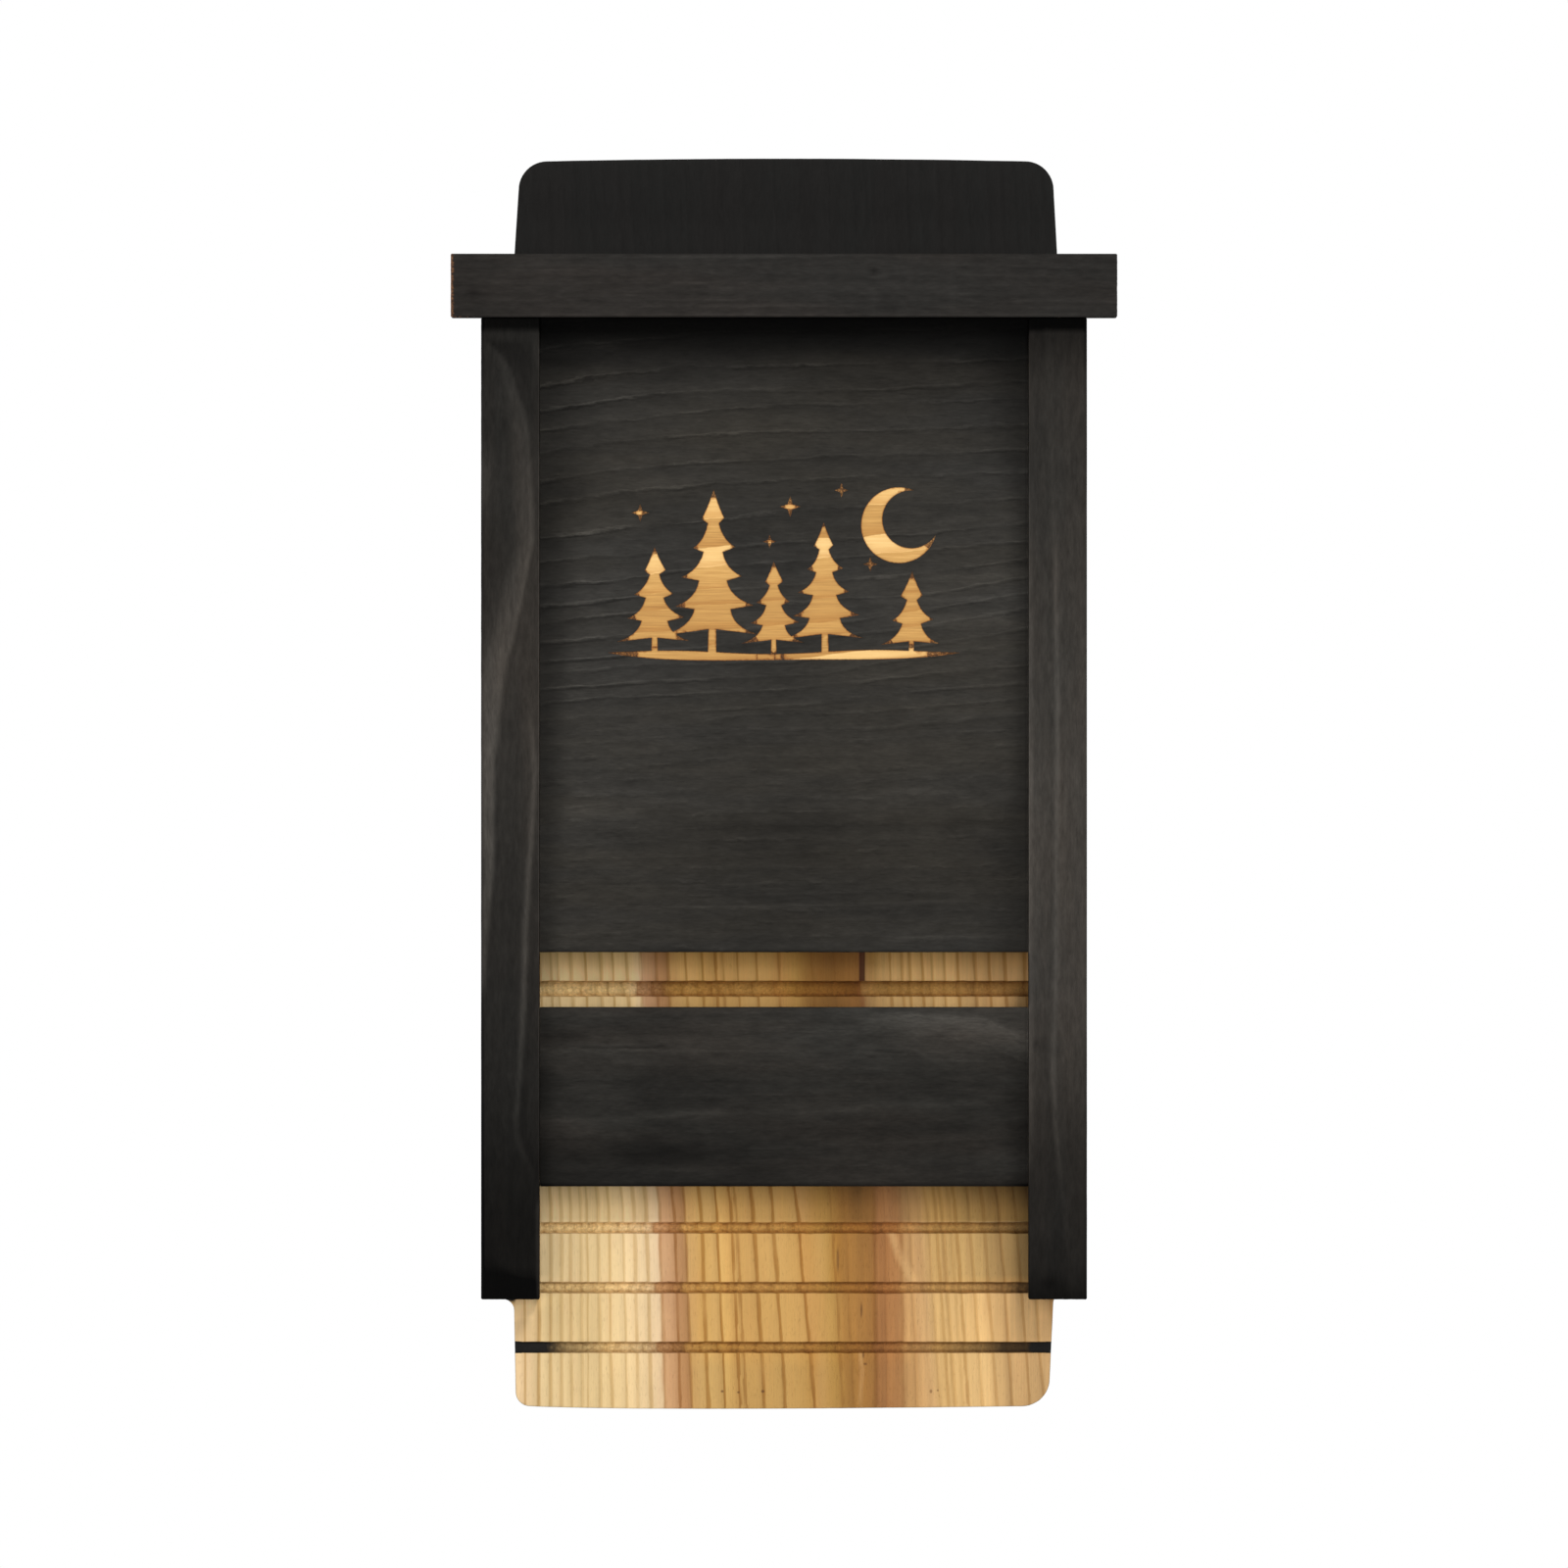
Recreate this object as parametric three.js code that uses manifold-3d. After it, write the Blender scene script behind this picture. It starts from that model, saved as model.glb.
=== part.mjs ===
// Bat box: a single-chamber roost that hangs on a wall, post or tree.
// A long grooved board carries two side rails. Two front panels stand between
// the rails with a vent slot between them, and a square-edged roof slab covers
// the chamber. Bats land on the bare tail of the board and climb up inside.
//
// Millimetres, +Z up. The front faces -Y. The origin is the centre of the
// board's back face, which lies on the wall.

import * as THREE from "three";
import { mergeVertices } from "three/addons/utils/BufferGeometryUtils.js";
import Module from "manifold-3d";

const wasm = await Module();
wasm.setup();

// ---------------------------------------------------------------- dimensions
const BOARD_T = 19;            // board thickness, 3/4 in
const BOARD_HALF_W = 147.5;    // half width of the board behind the rails
const BOARD_TOP = 305;         // middle of the head's slightly crowned top edge
const BOARD_BOTTOM = -304.75;  // middle of the tail's slightly crowned end
const CROWN = 1.25;            // how far both ends fall away towards their corners

const HEAD_ROOT_Z = 252.75;    // upper shoulders, hidden behind the roof
const HEAD_ROOT_L = 131.5;     // head's half width where it leaves the roof, left
const HEAD_ROOT_R = 133.25;
const HEAD_TOP_L = 129.5;      // half width where the corner starts, left
const HEAD_TOP_R = 131.5;
const HEAD_CORNER_R = 14;

const TAIL_ROOT_Z_L = -251.25; // lower shoulders, at the rails' lower ends
const TAIL_ROOT_Z_R = -248;
const TAIL_ROOT_L = 131.6;
const TAIL_ROOT_R = 131.3;
const TAIL_END_L = 130.9;
const TAIL_END_R = 129.6;
const TAIL_CORNER_L = 7;
const TAIL_CORNER_R = 13.5;
const TAIL_CROWN_X = -70;      // the end is fullest left of its middle
const SHOULDER_FILLET = 5.5;

const GROOVE_PITCH = 29.14;    // claw grooves, right across the board's front
const GROOVE_FIRST_Z = -274.7; // lowest one, on the landing
const GROOVE_COUNT = 17;
const GROOVE_W = 5.7;
const GROOVE_DEPTH = 2.5;
const VENT_GROOVE = 6;         // the one seen through the vent slot, cut wider
const VENT_GROOVE_W = 7.9;

const RAIL_W = 28.5;           // 5/4 stock
const RAIL_DEPTH = 50;
const RAIL_BOTTOM = -251;
const RAIL_EASE = 1.25;        // eased front arrises
const ROOF_BOTTOM = 227;       // also the top of the rails and the upper panel

const ROOF_HALF_W = 162.25;
const ROOF_T = 31;
const ROOF_DEPTH = 65;         // 15 past the rails' front

const PANEL_T = 18;
const PANEL_RECESS = 8;        // panel faces lie this far behind the rails' faces
const UPPER_PANEL_BOTTOM = -82;
const LOWER_PANEL_TOP = -108.5;
const LOWER_PANEL_BOTTOM = -196;

const SCREW_R = 2.1;           // no. 8 countersunk wood screw
const SCREW_HEAD_R = 4;
const SCREW_HEAD_RIM = 0.4;
const SCREW_HEAD_H = 2.8;
const SCREW_TIP = 6;
const SCREW_SIDES = 12;
const DRIVE_SPAN = 4.2;        // cross recess
const DRIVE_SLOT = 0.95;
const DRIVE_DEPTH = 1.7;
const HOLE_GAP = 0.3;          // clearance of each hole around its screw

const REAR_SCREW_L = 44.5;
const REAR_SCREW_SINK = 1;
const REAR_SCREW_Z = [-230.5, -84.75, 31.75, 177.5];
const ROOF_SCREW_L = 63.5;
const ROOF_SCREW_SINK = 0.5;
const ROOF_SCREW_Y = [-31, -57];
const SIDE_SCREW_L = 57;
const SIDE_SCREW_SINK = 0.5;
const UPPER_SCREW_Z = [165, 57, -50];
const LOWER_SCREW_Z = [-131, -173];

// Worked out from the above.
const RAIL_IN = BOARD_HALF_W - RAIL_W;
const RAIL_MID = BOARD_HALF_W - RAIL_W / 2;
const RAIL_FRONT = BOARD_T + RAIL_DEPTH;
const PANEL_FRONT = RAIL_FRONT - PANEL_RECESS;
const PANEL_MID_Y = -(PANEL_FRONT - PANEL_T / 2);
const ROOF_TOP = ROOF_BOTTOM + ROOF_T;

// ------------------------------------------------------------------ materials
const wood = (name, color, roughness) =>
  new THREE.MeshStandardMaterial({ name, color, roughness, metalness: 0 });
const NATURAL = wood("natural_cedar", 0xd9b277, 0.75);
const STAINED = wood("stained_cedar", 0x2f2e2c, 0.8);
const COATED = new THREE.MeshStandardMaterial({
  name: "screw_steel", color: 0x6d675c, roughness: 0.45, metalness: 0.8,
});

// -------------------------------------------------------------------- helpers
function toSolid(geometry) {
  const g = geometry.clone();
  g.deleteAttribute("normal");
  g.deleteAttribute("uv");
  const m = mergeVertices(g, 1e-4);
  return new wasm.Manifold(new wasm.Mesh({
    numProp: 3,
    vertProperties: new Float32Array(m.attributes.position.array),
    triVerts: new Uint32Array(m.index.array),
  }));
}

function toGeometry(solid) {
  const m = solid.getMesh();
  const g = new THREE.BufferGeometry();
  g.setAttribute("position", new THREE.BufferAttribute(new Float32Array(m.vertProperties), 3));
  g.setIndex(new THREE.BufferAttribute(new Uint32Array(m.triVerts), 1));
  g.computeVertexNormals();
  return g;
}

// geometry lies around its own origin; cutters lie in the object's frame.
function cut(geometry, origin, cutters) {
  let solid = toSolid(geometry);
  for (const c of cutters) {
    const tool = c.clone().translate(-origin[0], -origin[1], -origin[2]);
    solid = solid.subtract(toSolid(tool));
  }
  return toGeometry(solid);
}

function block(w, d, h) {
  return new THREE.BoxGeometry(w, d, h);
}

function add(parent, name, geometry, material, position, rotation = [0, 0, 0]) {
  const mesh = new THREE.Mesh(geometry, material);
  mesh.name = name;
  mesh.position.set(...position);
  mesh.rotation.set(...rotation);
  parent.add(mesh);
  return mesh;
}

// ---------------------------------------------------------------------- screws
// A screw's axis is its own Y, with the head's face at 0 and the tip below it.
function lathe(points) {
  return new THREE.LatheGeometry(points.map(([r, y]) => new THREE.Vector2(r, y)), SCREW_SIDES);
}

function screwGeometry(length) {
  const body = lathe([
    [0, -length],
    [SCREW_R, -length + SCREW_TIP],
    [SCREW_R, -SCREW_HEAD_H],
    [SCREW_HEAD_R, -SCREW_HEAD_RIM],
    [SCREW_HEAD_R, 0],
    [0, 0],
  ]);
  const slotA = block(DRIVE_SPAN, DRIVE_DEPTH * 2, DRIVE_SLOT);
  const slotB = block(DRIVE_SLOT, DRIVE_DEPTH * 2, DRIVE_SPAN);
  return toGeometry(toSolid(body).subtract(toSolid(slotA).add(toSolid(slotB))));
}

// The countersunk hole that a screw of this length stands in.
function holeGeometry(length) {
  const r = SCREW_R + HOLE_GAP;
  const R = SCREW_HEAD_R + HOLE_GAP + 0.05;
  return lathe([
    [0, -length - 0.6],
    [r, -length - 0.6],
    [r, -SCREW_HEAD_H - 0.25],
    [R, -SCREW_HEAD_RIM - 0.1],
    [R, 4],
    [0, 4],
  ]);
}

// Where each screw stands: its head's face, and the turn that points its head.
const TO_BACK = [0, 0, 0];
const TO_TOP = [Math.PI / 2, 0, 0];
const TO_RIGHT = [0, 0, -Math.PI / 2];
const TO_LEFT = [0, 0, Math.PI / 2];

const screws = [];
for (const [side, s] of [["left", -1], ["right", 1]]) {
  REAR_SCREW_Z.forEach((z, i) => screws.push({
    name: `${side}_rear_screw_${i + 1}`, length: REAR_SCREW_L, turn: TO_BACK,
    at: [s * RAIL_MID, -REAR_SCREW_SINK, z], through: ["back_board", `${side}_rail`],
  }));
  ROOF_SCREW_Y.forEach((y, i) => screws.push({
    name: `${side}_roof_screw_${i + 1}`, length: ROOF_SCREW_L, turn: TO_TOP,
    at: [s * RAIL_MID, y, ROOF_TOP - ROOF_SCREW_SINK], through: ["roof", `${side}_rail`],
  }));
  UPPER_SCREW_Z.forEach((z, i) => screws.push({
    name: `${side}_upper_panel_screw_${i + 1}`, length: SIDE_SCREW_L,
    turn: s > 0 ? TO_RIGHT : TO_LEFT,
    at: [s * (BOARD_HALF_W - SIDE_SCREW_SINK), PANEL_MID_Y, z],
    through: ["upper_front_panel", `${side}_rail`],
  }));
  LOWER_SCREW_Z.forEach((z, i) => screws.push({
    name: `${side}_lower_panel_screw_${i + 1}`, length: SIDE_SCREW_L,
    turn: s > 0 ? TO_RIGHT : TO_LEFT,
    at: [s * (BOARD_HALF_W - SIDE_SCREW_SINK), PANEL_MID_Y, z],
    through: ["lower_front_panel", `${side}_rail`],
  }));
}

function holesIn(piece) {
  return screws.filter((s) => s.through.includes(piece)).map((s) => {
    const matrix = new THREE.Matrix4().compose(
      new THREE.Vector3(...s.at),
      new THREE.Quaternion().setFromEuler(new THREE.Euler(...s.turn)),
      new THREE.Vector3(1, 1, 1),
    );
    return holeGeometry(s.length).applyMatrix4(matrix);
  });
}

// ----------------------------------------------------------------------- board
// Outline in X and Z, clockwise from the left upper shoulder.
function boardShape() {
  const s = new THREE.Shape();
  const f = SHOULDER_FILLET;
  s.moveTo(-BOARD_HALF_W, HEAD_ROOT_Z);
  s.lineTo(-HEAD_ROOT_L - f, HEAD_ROOT_Z);
  s.absarc(-HEAD_ROOT_L - f, HEAD_ROOT_Z + f, f, -Math.PI / 2, 0, false);
  // head, left corner, crowned top, right corner
  const topL = BOARD_TOP - CROWN;
  s.lineTo(-HEAD_TOP_L, topL - HEAD_CORNER_R);
  s.absarc(-HEAD_TOP_L + HEAD_CORNER_R, topL - HEAD_CORNER_R, HEAD_CORNER_R, Math.PI, Math.PI / 2, true);
  s.quadraticCurveTo(0, topL + 2 * CROWN, HEAD_TOP_R - HEAD_CORNER_R, topL);
  s.absarc(HEAD_TOP_R - HEAD_CORNER_R, topL - HEAD_CORNER_R, HEAD_CORNER_R, Math.PI / 2, 0, true);
  s.lineTo(HEAD_ROOT_R, HEAD_ROOT_Z + f);
  s.absarc(HEAD_ROOT_R + f, HEAD_ROOT_Z + f, f, Math.PI, 1.5 * Math.PI, false);
  s.lineTo(BOARD_HALF_W, HEAD_ROOT_Z);
  s.lineTo(BOARD_HALF_W, TAIL_ROOT_Z_R);
  // tail
  s.lineTo(TAIL_ROOT_R + f, TAIL_ROOT_Z_R);
  s.absarc(TAIL_ROOT_R + f, TAIL_ROOT_Z_R - f, f, Math.PI / 2, Math.PI, false);
  const endZ = BOARD_BOTTOM + CROWN;
  s.lineTo(TAIL_END_R, endZ + TAIL_CORNER_R);
  s.absarc(TAIL_END_R - TAIL_CORNER_R, endZ + TAIL_CORNER_R, TAIL_CORNER_R, 0, -Math.PI / 2, true);
  s.quadraticCurveTo(TAIL_CROWN_X, endZ - 2 * CROWN, -TAIL_END_L + TAIL_CORNER_L, endZ);
  s.absarc(-TAIL_END_L + TAIL_CORNER_L, endZ + TAIL_CORNER_L, TAIL_CORNER_L, -Math.PI / 2, -Math.PI, true);
  s.lineTo(-TAIL_ROOT_L, TAIL_ROOT_Z_L - f);
  s.absarc(-TAIL_ROOT_L - f, TAIL_ROOT_Z_L - f, f, 0, Math.PI / 2, false);
  s.lineTo(-BOARD_HALF_W, TAIL_ROOT_Z_L);
  s.closePath();
  return s;
}

const boardBlank = new THREE.ExtrudeGeometry(boardShape(), {
  depth: BOARD_T, bevelEnabled: false, curveSegments: 8, steps: 1,
}).rotateX(Math.PI / 2); // the shape stands up, and its thickness runs to -Y

const grooves = [];
for (let i = 0; i < GROOVE_COUNT; i += 1) {
  const width = i === VENT_GROOVE ? VENT_GROOVE_W : GROOVE_W;
  grooves.push(block(2 * BOARD_HALF_W + 4, 2 * GROOVE_DEPTH, width)
    .translate(0, -BOARD_T, GROOVE_FIRST_Z + i * GROOVE_PITCH));
}

// ------------------------------------------------------------------------ rail
// A rail's own origin is the middle of its length, width and depth.
function railBlank() {
  const w = RAIL_W / 2;
  const d = RAIL_DEPTH / 2;
  const e = RAIL_EASE;
  const h = ROOF_BOTTOM - RAIL_BOTTOM;
  const s = new THREE.Shape();
  s.moveTo(-w, d);
  s.lineTo(-w, -d + e);
  s.lineTo(-w + e, -d);
  s.lineTo(w - e, -d);
  s.lineTo(w, -d + e);
  s.lineTo(w, d);
  s.closePath();
  return new THREE.ExtrudeGeometry(s, { depth: h, bevelEnabled: false, steps: 1 })
    .translate(0, 0, -h / 2);
}

// -------------------------------------------------------------------- assembly
const batBox = new THREE.Group();
batBox.name = "bat_box";

const carcass = new THREE.Group();
batBox.add(carcass);
add(carcass, "back_board", cut(boardBlank, [0, 0, 0], [...grooves, ...holesIn("back_board")]),
  NATURAL, [0, 0, 0]);

for (const [side, s] of [["left", -1], ["right", 1]]) {
  const at = [s * RAIL_MID, -(BOARD_T + RAIL_DEPTH / 2), (ROOF_BOTTOM + RAIL_BOTTOM) / 2];
  add(carcass, `${side}_rail`, cut(railBlank(), at, holesIn(`${side}_rail`)), STAINED, at);
}

for (const [name, top, bottom] of [
  ["upper_front_panel", ROOF_BOTTOM, UPPER_PANEL_BOTTOM],
  ["lower_front_panel", LOWER_PANEL_TOP, LOWER_PANEL_BOTTOM],
]) {
  const at = [0, PANEL_MID_Y, (top + bottom) / 2];
  add(carcass, name, cut(block(2 * RAIL_IN, PANEL_T, top - bottom), at, holesIn(name)), STAINED, at);
}

const roofAt = [0, -(BOARD_T + ROOF_DEPTH / 2), ROOF_BOTTOM + ROOF_T / 2];
add(carcass, "roof", cut(block(2 * ROOF_HALF_W, ROOF_DEPTH, ROOF_T), roofAt, holesIn("roof")),
  STAINED, roofAt);

const fasteners = new THREE.Group();
batBox.add(fasteners);
const screwShapes = new Map();
for (const s of screws) {
  if (!screwShapes.has(s.length)) screwShapes.set(s.length, screwGeometry(s.length));
  add(fasteners, s.name, screwShapes.get(s.length), COATED, s.at, s.turn);
}

export default batBox;
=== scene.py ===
# Bat box: the looks of each piece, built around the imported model.
#
# Lengths are in millimetres until a mesh is made. Marks in the wood are placed
# by their place in a square front view of 1600 steps, u to the right and v
# down, whose middle is the object's origin.

import math

import bpy
import numpy as np
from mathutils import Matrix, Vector
from mathutils.geometry import delaunay_2d_cdt


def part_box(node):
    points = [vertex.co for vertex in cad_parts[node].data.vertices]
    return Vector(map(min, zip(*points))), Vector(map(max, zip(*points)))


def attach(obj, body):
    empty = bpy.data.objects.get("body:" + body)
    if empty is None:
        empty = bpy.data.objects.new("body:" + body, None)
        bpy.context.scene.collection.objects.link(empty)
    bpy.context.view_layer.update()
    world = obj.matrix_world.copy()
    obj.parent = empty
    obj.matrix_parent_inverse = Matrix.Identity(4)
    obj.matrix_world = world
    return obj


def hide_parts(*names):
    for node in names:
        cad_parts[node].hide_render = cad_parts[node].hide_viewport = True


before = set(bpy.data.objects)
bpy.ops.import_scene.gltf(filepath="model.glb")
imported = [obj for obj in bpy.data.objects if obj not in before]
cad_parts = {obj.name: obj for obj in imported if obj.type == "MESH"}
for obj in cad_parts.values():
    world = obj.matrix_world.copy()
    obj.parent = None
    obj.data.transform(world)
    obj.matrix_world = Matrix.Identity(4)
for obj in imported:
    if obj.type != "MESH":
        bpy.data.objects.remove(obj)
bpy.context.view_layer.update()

S = 0.4777  # millimetres in a step of the front view


def X(u):
    return (u - 800.0) * S


def Z(v):
    return (800.0 - v) * S


def in_view(p):
    return 800.0 + p[:, 0] / S, 800.0 - p[:, 2] / S


def box_mm(node):
    lo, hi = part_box(node)
    return np.array(lo) * 1000.0, np.array(hi) * 1000.0


# ------------------------------------------------------------------ numbers
def _hash(i, j, k, seed):
    with np.errstate(over="ignore"):
        h = (
            i.astype(np.uint64) * np.uint64(0x9E3779B185EBCA87)
            ^ j.astype(np.uint64) * np.uint64(0xC2B2AE3D27D4EB4F)
            ^ k.astype(np.uint64) * np.uint64(0x165667B19E3779F9)
            ^ np.uint64(seed + 1) * np.uint64(0x27D4EB2F165667C5)
        )
        h ^= h >> np.uint64(29)
        h *= np.uint64(0xBF58476D1CE4E5B9)
        h ^= h >> np.uint64(32)
    return (h >> np.uint64(11)).astype(float) / 2.0**53


def noise(x, y, z, seed=0):
    """Smooth value noise from -1 to 1."""
    x, y, z = np.broadcast_arrays(
        *(np.asarray(a, float) for a in (x, y, z))
    )
    i, j, k = (np.floor(a).astype(np.int64) for a in (x, y, z))
    f = [x - i, y - j, z - k]
    s = [a * a * (3 - 2 * a) for a in f]
    out = np.zeros_like(x)
    for di in (0, 1):
        for dj in (0, 1):
            for dk in (0, 1):
                w = (
                    (s[0] if di else 1 - s[0])
                    * (s[1] if dj else 1 - s[1])
                    * (s[2] if dk else 1 - s[2])
                )
                out += w * _hash(i + di, j + dj, k + dk, seed)
    return out * 2 - 1


def fbm(x, y, z, seed=0, octaves=3):
    out, gain, scale = 0.0, 1.0, 1.0
    for o in range(octaves):
        out = out + gain * noise(x * scale, y * scale, z * scale, seed + 31 * o)
        gain *= 0.5
        scale *= 2.03
    return out / 1.75


def ramp(a, lo, hi):
    """0 below lo, 1 above hi, smooth between. lo may be the larger."""
    t = np.clip((a - lo) / (hi - lo), 0, 1)
    return t * t * (3 - 2 * t)


def bell(a, width):
    return np.exp(-((a / width) ** 2))


class Lines:
    """Growth-ring lines on a face as paths, in order. Each path is (along, across)."""

    def __init__(self, paths, reach=160.0):
        self.paths = []
        for p in paths:
            p = np.array(p, float)
            p = p[np.argsort(p[:, 0])]
            s0 = (p[1, 1] - p[0, 1]) / (p[1, 0] - p[0, 0])
            s1 = (p[-1, 1] - p[-2, 1]) / (p[-1, 0] - p[-2, 0])
            first = [p[0, 0] - reach, p[0, 1] - 0.5 * s0 * reach]
            last = [p[-1, 0] + reach, p[-1, 1] + 0.5 * s1 * reach]
            self.paths.append(np.vstack([first, p, last]))

    def field(self, along, across):
        """Phase, a whole number on each line, and the width of the ring, in steps."""
        pos = np.stack([np.interp(along, p[:, 0], p[:, 1]) for p in self.paths], 1)
        for i in range(1, pos.shape[1]):
            pos[:, i] = np.maximum(pos[:, i], pos[:, i - 1] + 2.5)
        n = pos.shape[1]
        i = np.clip((pos <= across[:, None]).sum(1) - 1, 0, n - 2)[:, None]
        lo = np.take_along_axis(pos, i, 1)[:, 0]
        hi = np.take_along_axis(pos, i + 1, 1)[:, 0]
        return i[:, 0] + (across - lo) / (hi - lo), hi - lo


def near(u, v, path):
    """Signed distance in steps to a path, positive on its right when it runs
    down and above it when it runs right, and the share of the path at the
    nearest point."""
    p = np.stack([u, v], 1)
    path = np.array(path, float)
    d = path[1:] - path[:-1]
    length = np.hypot(d[:, 0], d[:, 1])
    along = np.concatenate([[0], np.cumsum(length)])
    best = np.full(len(p), 1e9)
    sign = np.ones(len(p))
    share = np.zeros(len(p))
    for m in range(len(d)):
        w = p - path[m]
        t = np.clip((w @ d[m]) / length[m] ** 2, 0, 1)
        q = w - t[:, None] * d[m]
        r = np.hypot(q[:, 0], q[:, 1])
        side = d[m, 1] * w[:, 0] - d[m, 0] * w[:, 1]
        take = r < best
        best[take] = r[take]
        sign[take] = np.where(side[take] < 0, -1.0, 1.0)
        share[take] = (along[m] + t[take] * length[m]) / along[-1]
    return best * sign, share


def stroke(u, v, path, width, fade=0.12):
    """A soft mark along a path, 1 on it, fading over a share of it at each end."""
    d, s = near(u, v, path)
    ends = ramp(s, -0.001, fade) * ramp(s, 1.001, 1 - fade) if fade else 1.0
    return bell(d, width) * ends


def spot(u, v, at, ru, rv):
    return np.exp(-(((u - at[0]) / ru) ** 2) - ((v - at[1]) / rv) ** 2)


# ------------------------------------------------------------------- meshes
def mesh_object(name, verts, faces):
    """verts in millimetres. faces is a list of arrays of equal-sided faces."""
    me = bpy.data.meshes.new(name)
    me.from_pydata(
        (np.asarray(verts, float) / 1000.0).tolist(),
        [],
        [f for group in faces for f in (group.tolist() if hasattr(group, "tolist") else group)],
    )
    me.validate()
    ob = bpy.data.objects.new(name, me)
    bpy.context.scene.collection.objects.link(ob)
    return ob


def nodes_along(lo, hi, step, r):
    n = max(1, int(round((hi - lo - 2 * r - 0.7) / step)))
    mid = np.linspace(lo + r + 0.35, hi - r - 0.35, n + 1)
    a, b = [lo, lo + 0.586 * r, lo + r], [hi - r, hi - 0.586 * r, hi]
    return np.concatenate([a, mid, b])


def block(lo, hi, steps, r, relief):
    """A closed block with rounded arrises, a fine net on all six faces, and its
    surface moved along its normal by relief(points, normals)."""
    lo, hi = np.array(lo, float), np.array(hi, float)
    axes = [nodes_along(lo[i], hi[i], steps[i], r) for i in range(3)]
    shape = [len(a) for a in axes]
    mask = np.zeros(shape, bool)
    for k in (0, -1):
        mask[k] = mask[:, k] = mask[:, :, k] = True
    ids = -np.ones(shape, int)
    ids[mask] = np.arange(mask.sum())
    at = np.nonzero(mask)
    p = np.stack([axes[i][at[i]] for i in range(3)], 1)
    quads = []

    def side(a, flip):
        q = np.stack([a[:-1, :-1], a[1:, :-1], a[1:, 1:], a[:-1, 1:]], -1).reshape(-1, 4)
        quads.append(q[:, ::-1] if flip else q)

    side(ids[0], True)
    side(ids[-1], False)
    side(ids[:, 0], False)
    side(ids[:, -1], True)
    side(ids[:, :, 0], True)
    side(ids[:, :, -1], False)
    inner = np.clip(p, lo + r, hi - r)
    n = p - inner
    n /= np.linalg.norm(n, axis=1)[:, None]
    h = np.minimum(relief(p, n), 0.0)
    return inner + n * (r + h)[:, None], np.concatenate(quads)


def lathe(profile, sides, origin, axis):
    """Closed body of revolution. profile is (radius, height) from tip to face, and
    height runs along axis from origin."""
    axis = np.array(axis, float)
    e1 = np.array([0.0, 0, 1]) if abs(axis[2]) < 0.5 else np.array([1.0, 0, 0])
    e2 = np.cross(axis, e1)
    a = np.arange(sides) * 2 * math.pi / sides
    ring = np.cos(a)[:, None] * e1 + np.sin(a)[:, None] * e2
    verts, faces, rows = [], [], []
    for r, h in profile:
        if r < 1e-9:
            rows.append([len(verts)])
            verts.append(np.array(origin) + axis * h)
        else:
            rows.append(list(range(len(verts), len(verts) + sides)))
            verts.extend(np.array(origin) + axis * h + ring * r)
    for lo, hi in zip(rows[:-1], rows[1:]):
        for i in range(sides):
            j = (i + 1) % sides
            if len(lo) == 1:
                faces.append([lo[0], hi[j], hi[i]])
            elif len(hi) == 1:
                faces.append([lo[i], lo[j], hi[0]])
            else:
                faces.append([lo[i], lo[j], hi[j], hi[i]])
    return np.array(verts), faces


def cut(ob, *cutters):
    """Takes closed bodies, each (verts in mm, faces), out of ob."""
    verts, faces, start = [], [], 0
    for v, f in cutters:
        verts.append(np.asarray(v))
        faces.extend([[i + start for i in q] for q in (f.tolist() if hasattr(f, "tolist") else f)])
        start += len(v)
    tool = mesh_object("tool", np.concatenate(verts), [faces])
    mod = ob.modifiers.new("cut", "BOOLEAN")
    mod.operation = "DIFFERENCE"
    mod.solver = "MANIFOLD"
    mod.object = tool
    dg = bpy.context.evaluated_depsgraph_get()
    new = bpy.data.meshes.new_from_object(ob.evaluated_get(dg))
    ob.modifiers.clear()
    old = ob.data
    ob.data = new
    name = old.name
    bpy.data.meshes.remove(old)
    new.name = name
    tool_mesh = tool.data
    bpy.data.objects.remove(tool)
    bpy.data.meshes.remove(tool_mesh)
    return ob


def points_of(ob):
    co = np.zeros(len(ob.data.vertices) * 3)
    ob.data.vertices.foreach_get("co", co)
    return co.reshape(-1, 3) * 1000.0


def faces_of(ob):
    n = len(ob.data.polygons)
    c, m = np.zeros(n * 3), np.zeros(n * 3)
    ob.data.polygons.foreach_get("center", c)
    ob.data.polygons.foreach_get("normal", m)
    return c.reshape(-1, 3) * 1000.0, m.reshape(-1, 3)


def paint(ob, **values):
    for name, a in values.items():
        at = ob.data.attributes.new(name, "FLOAT", "POINT")
        at.data.foreach_set("value", np.ascontiguousarray(a, dtype=np.float32))


def dress(ob, node, materials, index=None, angle=32):
    ob.data.materials.clear()
    for m in materials:
        ob.data.materials.append(m)
    if index is not None:
        ob.data.polygons.foreach_set("material_index", np.asarray(index, np.int32))
    ob.data.shade_smooth()
    ob.data.set_sharp_from_angle(angle=math.radians(angle))
    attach(ob, "root")
    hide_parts(node)
    return ob


# ---------------------------------------------------------------- materials
def rgb(r, g, b):
    def lin(c):
        c /= 255.0
        return c / 12.92 if c <= 0.04045 else ((c + 0.055) / 1.055) ** 2.4

    return (lin(r), lin(g), lin(b), 1.0)


class Val:
    """An output socket with arithmetic."""

    def __init__(self, m, socket):
        self.m, self.socket = m, socket

    def __add__(self, o):
        return self.m.math("ADD", self, o)

    __radd__ = __add__

    def __sub__(self, o):
        return self.m.math("SUBTRACT", self, o)

    def __rsub__(self, o):
        return self.m.math("SUBTRACT", o, self)

    def __mul__(self, o):
        return self.m.math("MULTIPLY", self, o)

    __rmul__ = __mul__


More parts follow.
